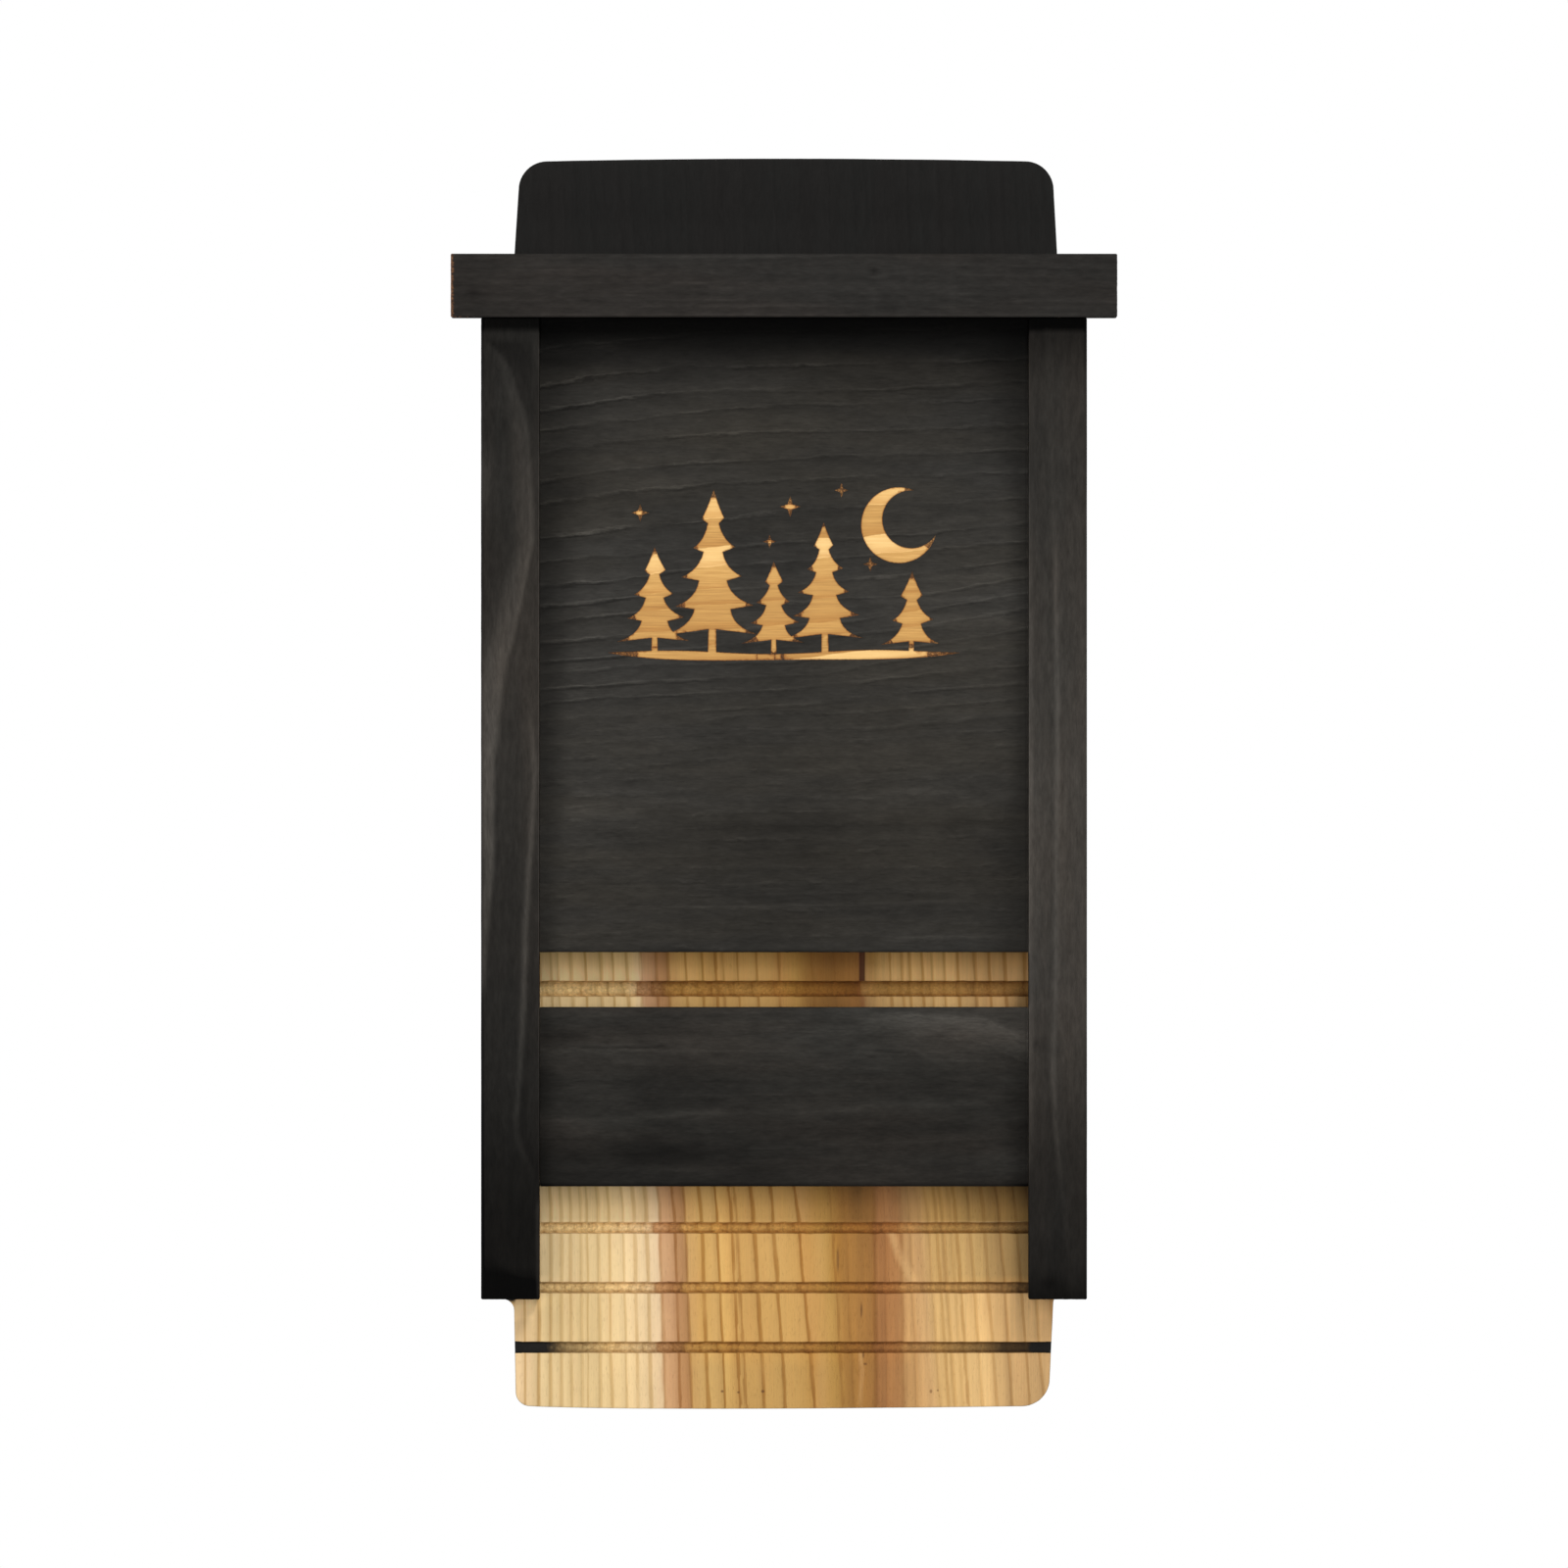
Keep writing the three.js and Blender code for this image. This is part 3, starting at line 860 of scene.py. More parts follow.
def crescent(cx, cz, r, tilt):
    a0 = 0.70
    outer = [(math.cos(a), math.sin(a)) for a in np.linspace(a0, 2 * math.pi - a0, 48)]
    p, q = outer[-1], outer[0]
    c, rr = 0.36, math.hypot(outer[0][0] - 0.36, outer[0][1])
    s0 = math.atan2(p[1], p[0] - c)
    s1 = math.atan2(q[1], q[0] - c)
    inner = [(c + rr * math.cos(a), rr * math.sin(a)) for a in np.linspace(s0 + 2 * math.pi, s1, 40)[1:-1]]
    ct, st = math.cos(tilt), math.sin(tilt)
    return [(cx + r * (x * ct - z * st), cz + r * (x * st + z * ct)) for x, z in outer + inner]


def star(cx, cz, r):
    return [
        (cx + (r if i % 2 == 0 else r * 0.34) * math.sin(i * math.pi / 4),
         cz + (r if i % 2 == 0 else r * 0.34) * math.cos(i * math.pi / 4))
        for i in range(8)
    ]


ORNAMENT = [
    ground(-86, 86, 64.0, 7.0),
    fir(-63, 63.5, 52, 36, 4),
    fir(-35, 63.5, 80, 47, 5, 0.01),
    fir(-5, 63.5, 45, 31, 4),
    fir(20, 63.5, 64, 40, 5, -0.01),
    fir(62, 63.5, 40, 29, 3, 0.01),
    crescent(56, 126, 18.5, 0.45),
    star(3, 135, 5.2),
    star(-70, 132, 4.4),
    star(28, 143, 3.6),
    star(-7, 118, 3.4),
    star(42, 107, 3.6),
]


def ornament_cutter(face_y, depth):
    """Prism of all the shapes, from in front of the panel to the cut's floor,
    with a fine net on the floor. Also gives the outline's segments."""
    pts, loops = [], []
    for shape in ORNAMENT:
        dense = []
        n = len(shape)
        for i in range(n):
            a, b = np.array(shape[i]), np.array(shape[(i + 1) % n])
            k = max(1, int(np.ceil(np.linalg.norm(b - a) / 1.6)))
            dense.extend(a + (b - a) * j / k for j in range(k))
        loops.append(list(range(len(pts), len(pts) + len(dense))))
        pts.extend(dense)
    outline = np.array(pts)
    seg_a = np.concatenate([outline[l] for l in loops])
    seg_b = np.concatenate([np.roll(outline[l], -1, axis=0) for l in loops])
    gx, gz = np.meshgrid(np.arange(-88, 88.1, 1.7), np.arange(58, 146, 1.5))
    gx = gx + 0.4 * noise(gx * 3.1, gz * 2.7, 0, 5)
    gz = gz + 0.4 * noise(gx * 2.3, gz * 3.3, 0, 6)
    g = np.stack([gx.ravel(), gz.ravel()], 1)
    d = segment_distance(g, seg_a, seg_b)
    g = g[(d > 0.8)]
    coords = [Vector(p) for p in np.concatenate([outline, g])]
    cons = [(a, b) for l in loops for a, b in zip(l, l[1:] + l[:1])]
    vs, _, fs, _, _, _ = delaunay_2d_cdt(coords, cons, [], 0, 1e-5, True)
    vs = np.array([tuple(v) for v in vs])
    tris = np.array([f for f in fs if len(f) == 3])
    mid = vs[tris].mean(1)
    tris = tris[np.any([inside_poly(mid, outline[l]) for l in loops], axis=0)]
    a, b, c = vs[tris[:, 0]], vs[tris[:, 1]], vs[tris[:, 2]]
    area = (b[:, 0] - a[:, 0]) * (c[:, 1] - a[:, 1]) - (b[:, 1] - a[:, 1]) * (c[:, 0] - a[:, 0])
    tris = np.where(area[:, None] < 0, tris[:, ::-1], tris)
    used = np.unique(tris)
    index = -np.ones(len(vs), int)
    index[used] = np.arange(len(used))
    vs, tris = vs[used], index[tris]
    edges = {}
    for t in tris:
        for i in range(3):
            edges[(t[i], t[(i + 1) % 3])] = True
    rim = [e for e in edges if (e[1], e[0]) not in edges]
    n = len(vs)
    back_y = face_y + depth
    front = np.stack([vs[:, 0], np.full(n, face_y - 2.0), vs[:, 1]], 1)
    back = np.stack([vs[:, 0], np.full(n, back_y), vs[:, 1]], 1)
    faces = [list(t) for t in tris] + [[t[0] + n, t[2] + n, t[1] + n] for t in tris]
    faces += [[b, a, a + n, b + n] for a, b in rim]
    ra = np.array([vs[a] for a, b in rim])
    rb = np.array([vs[b] for a, b in rim])
    return (np.concatenate([front, back]), faces), ra, rb


def inside_poly(p, poly):
    x, z = p[:, 0], p[:, 1]
    res = np.zeros(len(p), bool)
    a, b = poly, np.roll(poly, -1, axis=0)
    for (x0, z0), (x1, z1) in zip(a, b):
        if z0 == z1:
            continue
        hit = ((z0 > z) != (z1 > z)) & (x < (x1 - x0) * (z - z0) / (z1 - z0) + x0)
        res ^= hit
    return res


def segment_distance(p, a, b):
    best = np.full(len(p), 1e9)
    for s, e in zip(a, b):
        d = e - s
        w = p - s
        t = np.clip((w @ d) / max(d @ d, 1e-12), 0, 1)
        q = w - t[:, None] * d
        best = np.minimum(best, np.hypot(q[:, 0], q[:, 1]))
    return best


# --------------------------------------------------------------- upper panel
UPPER_LINES = [
    [(540, 330), (590, 326), (667, 322), (800, 319), (1060, 316)],
    [(540, 358), (590, 352), (667, 345), (709, 340), (800, 338), (1060, 334)],
    [(551, 394), (590, 388), (640, 380), (706, 375), (773, 374), (857, 372), (973, 369), (1050, 366)],
    [(551, 420), (586, 414), (665, 403), (748, 398), (832, 399), (898, 397), (1036, 389)],
    [(551, 440), (615, 431), (706, 420), (811, 412), (886, 413), (1011, 407)],
    [(551, 463), (615, 452), (706, 445), (806, 439), (898, 439), (1040, 434)],
    [(551, 492), (623, 480), (677, 474), (748, 470), (832, 466), (915, 464), (1040, 459)],
    [(551, 515), (594, 509), (627, 503), (690, 497), (757, 491), (900, 486), (1050, 481)],
    [(551, 549), (623, 541), (657, 537), (740, 530), (830, 520), (1050, 508)],
    [(551, 575), (590, 570), (640, 566), (740, 558), (930, 545), (1050, 533)],
    [(551, 598), (623, 593), (661, 587), (715, 580), (830, 571), (930, 563), (1050, 552)],
    [(551, 618), (586, 616), (665, 607), (715, 603), (800, 598), (930, 586), (1050, 570)],
    [(551, 637), (590, 630), (665, 624), (702, 620), (773, 616), (948, 606), (1044, 589)],
    [(551, 656), (648, 647), (698, 645), (800, 640), (915, 628), (1036, 606)],
    [(551, 676), (573, 674), (665, 665), (748, 657), (832, 650), (940, 640), (1040, 622)],
    [(551, 688), (573, 686), (640, 680), (706, 678), (807, 674), (907, 662), (982, 653), (1050, 640)],
    [(551, 703), (665, 695), (757, 691), (840, 688), (898, 676), (1040, 657)],
    [(551, 718), (623, 711), (706, 708), (807, 703), (898, 693), (1023, 680)],
    [(551, 735), (623, 730), (748, 723), (832, 718), (915, 707), (1040, 697)],
]
for k in range(1, 20):
    vl, vr = 735 + 12.9 * k, 697 + 15.4 * k
    w = 2.2 * math.sin(k * 2.4)
    UPPER_LINES.append(
        [(551, vl), (640, vl - 3 + w), (760, (vl + vr) / 2 - 1), (880, (vl + vr) / 2 - 2 - w), (1045, vr)]
    )
LOWER_LINES = [
    [(551, 1016), (893, 1012), (1045, 1018)],
    [(551, 1037), (800, 1033), (893, 1033), (963, 1036), (1003, 1040), (1023, 1050), (1043, 1063)],
    [(551, 1054), (800, 1051), (920, 1053), (1000, 1062), (1045, 1083)],
    [(551, 1071), (683, 1070), (823, 1072), (940, 1077), (1007, 1083), (1045, 1098)],
    [(551, 1088), (700, 1086), (880, 1090), (1045, 1110)],
    [(551, 1103), (700, 1100), (880, 1103), (1045, 1116)],
    [(551, 1124), (640, 1120), (773, 1117), (930, 1112), (1045, 1121)],
    [(551, 1145), (607, 1143), (707, 1137), (773, 1135), (823, 1135), (910, 1128), (940, 1128), (1045, 1127)],
    [(551, 1161), (700, 1156), (880, 1148), (1045, 1142)],
    [(551, 1178), (700, 1174), (880, 1168), (1045, 1161)],
    [(551, 1195), (700, 1193), (880, 1188), (1045, 1182)],
    [(551, 1212), (700, 1211), (880, 1207), (1045, 1202)],
]
UPPER = Lines(UPPER_LINES)
LOWER = Lines(LOWER_LINES)


def depth_shift(p, front_y, slope, curve):
    """How far a ring has moved across the face by the time it reaches this depth."""
    t = (p[:, 1] - front_y) / S
    return slope * t + curve * t * t


def panel_field(p, lines, front_y):
    u, v = in_view(p)
    v = v + depth_shift(p, front_y, 0.55, 0.004)
    ring, gap = lines.field(u, v)
    return u, v, ring, gap * S


def grain_relief(ring, gap, amp=1.0):
    d = (ring - np.round(ring)) * gap
    return 0.07 * bell(d, 0.55) * amp - 0.05 * bell(d - 1.0, 0.8) * amp


def end_fibres(p, n, axis):
    """Fine pits on end grain."""
    w = np.abs(n[:, axis]) ** 4
    return w * 0.10 * (noise(p[:, 0] * 0.9, p[:, 1] * 0.9, p[:, 2] * 0.9, 3) - 1)


def worn(p, n):
    """Small dents and rubbed places along the arrises."""
    e = np.clip((0.97 - np.abs(n).max(1)) / 0.2, 0, 1)
    return -e * (0.10 + 0.16 * np.clip(fbm(p[:, 0] * 0.11, p[:, 1] * 0.11, p[:, 2] * 0.11, 9), 0, 1))


def end_light(p):
    """Painted light that lifts the shaded dark line where a panel meets the rails."""
    return 1 + 1.3 * ramp(p[:, 0], -118.2, -118.75) + 2.4 * ramp(p[:, 0], 118.0, 118.6)


def panel_piece(node, lines, steps, keep, ornament=False):
    lo, hi = box_mm(node)
    front = lo[1]

    def relief(p, n):
        _, _, ring, gap = panel_field(p, lines, front)
        breaks = 0.35 + 0.65 * ramp(fbm(p[:, 0] * 0.03, np.round(ring) * 3.1, 0, 4), -0.3, 0.4)
        h = -0.10 + grain_relief(ring, gap, np.abs(n[:, 1]) * breaks * keep(p))
        h = h + 0.035 * fbm(p[:, 0] * 0.02, p[:, 1] * 0.3, p[:, 2] * 0.5, 2)
        at_rail = ramp(np.abs(p[:, 0]), 117.0, 118.2)
        return h + 0.35 * end_fibres(p, n, 0) + worn(p, n) * (1 - 0.85 * at_rail)

    verts, quads = block(lo, hi, steps, 0.6, relief)
    ob = mesh_object(node.replace("_front_panel", "_panel_wood"), verts, [quads])
    cutters = holes("upper_panel" if "upper" in node else "lower_panel")
    rim = None
    if ornament:
        tool, ra, rb = ornament_cutter(front, 0.75)
        cutters.append(tool)
        rim = (ra, rb)
    cut(ob, *cutters)
    return ob, lo, hi, rim


ob, lo, hi, rim = panel_piece(
    "upper_front_panel", UPPER, (3.0, 2.2, 0.85), lambda p: 0.25 + 0.55 * ramp(p[:, 2], 15, 60), ornament=True
)
p = points_of(ob)
u, v, ring, gap = panel_field(p, UPPER, lo[1])
uu, vv = in_view(p)
left = ramp(uu, 760, 590)
amp = 0.35 + 0.65 * ramp(vv, 760, 690) * (0.35 + 0.65 * left)
amp = amp + 0.25 * stroke(uu, vv, [(700, 372), (860, 371), (1040, 366)], 6)
amp = amp * (0.75 + 0.25 * ramp(vv, 340, 380))
shade = np.interp(
    vv,
    [326, 336, 346, 354, 362, 370, 380, 400, 430, 480],
    [-0.96, -0.94, -0.90, -0.83, -0.70, -0.55, -0.36, -0.16, -0.08, 0.0],
)
# the rails' soft shadow on both sides of the panel
left_k = np.interp(
    vv,
    [326, 344, 351, 359, 367, 390, 470, 500, 520, 640, 700, 800, 850, 905, 975],
    [0.50, 0.50, 0.40, 0.15, 0.50, 0.43, 0.45, 0.58, 0.56, 0.56, 0.48, 0.47, 0.36, 0.32, 0.34],
)
left_u = np.interp(
    vv,
    [326, 351, 367, 390, 420, 500, 530, 640, 700, 800, 905, 975],
    [640, 610, 650, 605, 632, 640, 604, 600, 590, 586, 578, 578],
)
right_k = np.interp(vv, [326, 342, 350, 366, 380, 400, 430, 520, 820, 850, 975], [0.50, 0.65, 0.52, 0.60, 0.60, 0.52, 0.46, 0.42, 0.42, 0.33, 0.33])
right_u = np.interp(vv, [326, 350, 366, 380, 400, 430, 470, 520, 810, 850, 975], [975, 995, 960, 960, 978, 988, 1008, 1024, 1022, 990, 992])
sides = (1 - left_k * ramp(uu, left_u, 556)) * (1 - right_k * ramp(uu, right_u, 1048))
tone = 0.10 * stroke(uu, vv, [(560, 824), (760, 820), (1040, 812)], 7)
tone = tone - 0.14 * stroke(uu, vv, [(560, 846), (760, 844), (1040, 838)], 6)
tone = tone + 0.02 * spot(uu, vv, (895, 862), 90, 45) + 0.06 * spot(uu, vv, (700, 640), 160, 90)
tone = tone - 0.18 * ramp(uu, 780, 830) * ramp(uu, 1005, 965) * bell(vv - 397, 19)
# lighter places within the painted shadow under the roof
tone = tone + 0.70 * spot(uu, vv, (612, 353), 20, 5) + 0.50 * ramp(uu, 880, 905) * bell(vv - 338, 4)
tone = tone + 0.10 * ramp(vv, 575, 590) * ramp(vv, 650, 640) * ramp(uu, 690, 760)
tone = tone + 0.06 * ramp(vv, 575, 590) * ramp(vv, 612, 604) * ramp(uu, 690, 600)
tone = tone + 0.22 * stroke(uu, vv, [(860, 590), (950, 590), (1040, 588)], 3.0, 0.1)
tone = tone + 0.28 * stroke(uu, vv, [(880, 615), (950, 612), (1047, 610)], 4.0, 0.1)
tone = tone + 0.32 * stroke(uu, vv, [(900, 635), (960, 633), (1035, 632)], 5.0, 0.1)
tone = tone + 0.30 * stroke(uu, vv, [(568, 829), (620, 829), (662, 828)], 6.0, 0.2)
tone = tone + 0.22 * stroke(uu, vv, [(575, 808), (670, 807)], 3.5, 0.2) + 0.14 * stroke(uu, vv, [(580, 842), (690, 841)], 5.0, 0.2)
tone = tone + 0.28 * stroke(uu, vv, [(880, 808), (990, 806)], 4.5, 0.25)
tone = tone + 0.09 * ramp(uu, 650, 600) * bell(vv - 852, 32) - 0.12 * ramp(uu, 945, 980) * bell(vv - 846, 36)
tone = tone - 0.07 * ramp(uu, 770, 830) * ramp(uu, 1005, 970) * ramp(vv, 790, 815) * ramp(vv, 955, 930)
tone = tone + 0.10 * spot(uu, vv, (600, 640), 60, 110) + 0.08 * spot(uu, vv, (1000, 600), 60, 110)
tone = tone - (0.10 + 0.20 * bell(uu - 790, 110)) * ramp(vv, 790, 880)
tone = tone - 0.10 * bell(uu - 800, 90) * ramp(vv, 400, 460) * ramp(vv, 900, 800)
tone = tone - 0.06 * ramp(uu, 900, 1040) * ramp(vv, 800, 880)
tone = tone - 0.30 * bell(vv - 971, 2.4)
tone = tone + 0.06 * fbm(uu * 0.012, vv * 0.05, 0, 100)
for path, w, k in (
    ([(560, 905), (700, 903), (900, 899)], 1.3, 0.18),
    ([(600, 927), (760, 925), (1000, 919)], 1.3, 0.20),
    ([(900, 958), (970, 955), (1030, 955)], 1.6, 0.22),
    ([(735, 397), (770, 397), (800, 396)], 1.2, 0.25),
):
    tone = tone + k * stroke(uu, vv, path, w)
tone = (1 + tone) * (1 + shade) * sides * end_light(p) - 1
tint = 0.55 * spot(uu, vv, (900, 858), 110, 60) + 0.30 * spot(uu, vv, (760, 450), 120, 60)
tint = tint + 0.15 - 0.60 * spot(uu, vv, (700, 610), 130, 70) - 0.30 * spot(uu, vv, (1000, 480), 60, 100)
tint = tint + 0.25 * bell(vv - 971, 2.0)
edge = np.full(len(p), 9.0)
inside = (p[:, 1] < lo[1] + 1.2) & (np.abs(p[:, 0]) < 90) & (p[:, 2] > 54) & (p[:, 2] < 148)
edge[inside] = segment_distance(p[inside][:, [0, 2]], *rim)
broken = 0.25 + 0.75 * ramp(vv, 690, 770)
paint(ob, ring=ring, gap=gap, amp=np.clip(amp, 0, 1.3), tone=tone, tint=tint, edge=edge, broken=broken)
c, n = faces_of(ob)
near_art = (np.abs(c[:, 0]) < 90) & (c[:, 2] > 54) & (c[:, 2] < 148)
floor = near_art & (n[:, 1] < -0.9) & (c[:, 1] > lo[1] + 0.6) & (c[:, 1] < lo[1] + 0.9)
wall = near_art & (np.abs(n[:, 1]) < 0.7) & (c[:, 1] < lo[1] + 0.9)
dress(ob, "upper_front_panel", [BLACK_PANEL, ENGRAVED, SCORCHED], np.where(floor, 1, np.where(wall, 2, 0)))

# --------------------------------------------------------------- lower panel
ob, lo, hi, _ = panel_piece("lower_front_panel", LOWER, (2.6, 2.2, 0.7), lambda p: 0.2)
p = points_of(ob)
u, v, ring, gap = panel_field(p, LOWER, lo[1])
uu, vv = in_view(p)
amp = 0.30 + 0.15 * ramp(uu, 850, 900) * ramp(vv, 1110, 1080)
# painted shadow of the rails at both ends of the panel
tone = -0.28 * ramp(uu, 1018, 1047) * (0.15 + 0.85 * ramp(vv, 1058, 1078))
tone = tone - (0.22 + 0.08 * ramp(vv, 1135, 1125)) * ramp(uu, 570, 551) - 0.16 * ramp(uu, 900, 640)
tone = tone + 0.15 * ramp(uu, 565, 580) * ramp(uu, 660, 625) * (
    ramp(vv, 1058, 1068) - 0.35 * ramp(vv, 1128, 1138) - 0.50 * ramp(vv, 1160, 1176) * ramp(uu, 612, 590)
)
tone = tone - 0.34 * bell(vv - 1058, 9) * ramp(uu, 618, 575) * ramp(uu, 550, 562)
patch = near(uu, vv, [(860, 1034), (893, 1034.5), (963, 1036), (1003, 1039), (1023, 1048), (1047, 1060)])[0]
tone = tone + 0.24 * ramp(patch, 1.2, -0.8) * ramp(patch, -24, -8) * ramp(uu, 862, 905)
tone = tone - 0.10 * ramp(patch, 0.0, 1.6) * ramp(uu, 880, 905) * ramp(uu, 985, 960)
tone = tone + 0.36 * stroke(uu, vv, [(866, 1037), (930, 1040), (975, 1041), (1003, 1046), (1022, 1053), (1044, 1061)], 6.5, 0.14)
tone = tone + 0.38 * spot(uu, vv, (1035, 1054), 15, 12) + 0.20 * ramp(uu, 975, 1005) * ramp(vv, 1050, 1035)
tone = tone - 0.26 * spot(uu, vv, (1028, 1077), 12, 5) - 0.12 * spot(uu, vv, (965, 1102), 45, 12)
tone = tone + 0.22 * ramp(uu, 985, 1005) * bell(vv - 1187, 9)
tone = tone - 0.13 * ramp(uu, 610, 640) * ramp(uu, 720, 690) * bell(vv - 1047, 9)
tone = tone + 0.20 * stroke(uu, vv, [(632, 1139), (690, 1137), (750, 1135)], 4.5, 0.2)
tone = tone + 0.14 * ramp(uu, 640, 665) * ramp(uu, 760, 720) * bell(vv - 1196, 7)
tone = tone - 0.24 * ramp(vv, 1072, 1098) - 0.16 * ramp(vv, 1125, 1185) + 0.10 * spot(uu, vv, (930, 1185), 90, 20)
tone = tone + 0.06 * fbm(uu * 0.018, vv * 0.05, 0, 101)
tone = tone + 0.30 * stroke(uu, vv, [(893, 1035), (963, 1037), (1003, 1040), (1023, 1050), (1043, 1063)], 1.6, 0.2)
tone = tone + 0.34 * stroke(uu, vv, [(905, 1046), (985, 1050), (1024, 1064)], 12, 0.3)
tone = tone + 0.26 * stroke(uu, vv, [(553, 1073), (640, 1072), (740, 1072), (823, 1073)], 1.3)
tone = tone - 0.34 * stroke(uu, vv, [(590, 1068.5), (683, 1068.3)], 1.1)
tone = tone - 0.28 * stroke(uu, vv, [(887, 1071), (940, 1075)], 1.4)
tone = tone + 0.22 * stroke(uu, vv, [(940, 1080), (1007, 1083)], 1.4)
tone = tone + 0.17 * stroke(
    uu, vv,
    [(553, 1145), (607, 1143), (707, 1137), (773, 1135), (823, 1135), (910, 1127), (940, 1128), (1030, 1124)],
    5.5, 0.08,
)
tone = tone - 0.16 * spot(uu, vv, (667, 1175), 62, 10) - 0.10 * spot(uu, vv, (620, 1052), 60, 7)
tone = tone - 0.30 * bell(vv - 1209, 2.2)
tone = tone + 0.14 * ramp(uu, 640, 620) * ramp(uu, 580, 592) * bell(vv - 1030, 7) + 0.13 * ramp(uu, 845, 870) * ramp(uu, 995, 975) * bell(vv - 1032, 11)
tone = tone - 0.07 * ramp(uu, 840, 900) * bell(vv - 1119, 9)
tone = tone + 0.13 * ramp(uu, 670, 630) * bell(vv - 1149, 11) - 0.12 * ramp(uu, 770, 810) * bell(vv - 1149, 11)
tint = 0.5 * spot(uu, vv, (975, 1060), 60, 22) + 0.3 * bell(vv - 1209, 2.5)
tone = (1 + tone) * end_light(p) - 1
paint(ob, ring=ring, gap=gap, amp=amp, tone=tone, tint=tint, broken=0.0 * uu + 0.8)
dress(ob, "lower_front_panel", [BLACK_LOWER])

# ---------------------------------------------------------------------- roof
ROOF_LINES = [
    [(461 + 0, 252), (700, 251), (1140, 252)],
    [(461, 265), (640, 264), (870, 263), (1140, 266)],
    [(461, 273), (640, 272), (860, 270), (891, 267.5), (922, 270), (1140, 275)],
    [(461, 282), (640, 281), (860, 280), (891, 285), (922, 280), (1140, 284)],
    [(461, 291), (680, 290), (870, 291), (891, 293), (1016, 293), (1140, 293)],
    [(461, 300), (700, 299), (1140, 302)],
    [(461, 308), (700, 307), (1140, 309)],
    [(461, 315), (700, 314), (885, 313), (1140, 317)],
    [(461, 323), (700, 322), (1140, 324)],
    [(461, 334), (700, 333), (1140, 335)],
]
ROOF = Lines(ROOF_LINES)
lo, hi = box_mm("roof")


def roof_field(p):
    u, v = in_view(p)
    v = v + depth_shift(p, lo[1], -0.62, 0.0016)
    ring, gap = ROOF.field(u, v)
    return ring, gap * S


def roof_relief(p, n):
    ring, gap = roof_field(p)
    h = -0.10 + grain_relief(ring, gap, 0.8 * (1 - np.abs(n[:, 0])))
    h = h + 0.03 * fbm(p[:, 0] * 0.02, p[:, 1] * 0.3, p[:, 2] * 0.5, 12)
    return h + end_fibres(p, n, 0) + worn(p, n)


verts, quads = block(lo, hi, (2.5, 1.3, 0.7), 0.7, roof_relief)
ob = mesh_object("roof_wood", verts, [quads])
cut(ob, *holes("roof_screw"))
p = points_of(ob)
ring, gap = roof_field(p)
u, v = in_view(p)
on_front = ramp(p[:, 1], lo[1] + 1.2, lo[1] + 0.4)
tone = -0.05 - 0.12 * ramp(u, 540, 470) + 0.05 * fbm(u * 0.02, v * 0.08, 0, 102)
for path, w, k in (
    ([(640, 264), (760, 263), (870, 263)], 1.7, 0.30),
    ([(683, 289.5), (723, 290)], 1.2, 0.42),
    ([(690, 294), (850, 294), (1016, 295)], 3.5, 0.14),
    ([(700, 314), (800, 313), (885, 314)], 1.7, 0.26),
    ([(500, 276), (620, 277)], 1.2, 0.16),
    ([(560, 303), (690, 302)], 1.2, 0.14),
    ([(930, 281), (1100, 284)], 1.2, 0.16),
    ([(969, 262), (970, 300), (969, 324)], 4.5, 0.12),
    ([(888, 290), (893, 306), (889, 322)], 4.0, 0.14),
    ([(470, 322.6), (800, 322.3), (1132, 322.6)], 0.8, 0.20),
):
    tone = tone + k * stroke(u, v, path, w, 0.15) * on_front
tone = tone - 0.35 * spot(u, v, (484, 300), 7, 5) * on_front
tone = tone - 0.50 * spot(u, v, (891, 278), 4.2, 4.2) * on_front
tone = tone + 0.22 * spot(u, v, (899, 284), 7, 4) * on_front
tone = tone - 0.35 * bell(v - 324.5, 1.0) * on_front - 0.06 * ramp(u, 900, 1130)
amp = 0.35 + 0.0 * u
bare = ramp(u, 463.6, 462.0) * on_front * 0.8
bare = np.maximum(bare, ramp(v, 323.2, 324.4) * ramp(u, 484, 477) * on_front * 0.6)
paint(
    ob, ring=ring, gap=gap, amp=amp, tone=tone, tint=0.25 * spot(u, v, (560, 300), 90, 40), bare=bare,
    broken=0.0 * u + 0.8,
)
dress(ob, "roof", [BLACK_ROOF])

# --------------------------------------------------------------------- rails
LEFT_EDGE = [
    (498, 350), (505, 357), (513, 364), (522, 378), (528, 399), (537, 423), (541, 450), (543.5, 474),
    (544.5, 498), (545.5, 522), (545.5, 552), (541, 576), (534.5, 609), (527, 648), (521, 669),
    (516.5, 699), (513.5, 720), (510.5, 750), (507, 780), (506, 851), (506, 887), (502.2, 923),
    (497.2, 994), (491, 1080), (486, 1200), (482, 1330),
]
LEFT_SECOND = [
    (540, 700), (543, 744), (546, 787), (542.5, 862), (539, 898), (537, 941), (535.6, 994), (534.6, 1030),
    (531.5, 1084), (528.8, 1123), (527.4, 1137), (528, 1155), (533.6, 1176), (546, 1201), (556, 1216),
]
RIGHT_EDGE = [
    (1067, 325), (1068, 350), (1073, 458), (1077, 578), (1079, 725), (1077.8, 925), (1077, 1020),
    (1074.5, 1092), (1076, 1135), (1080.5, 1178), (1090, 1272), (1096, 1330),
]


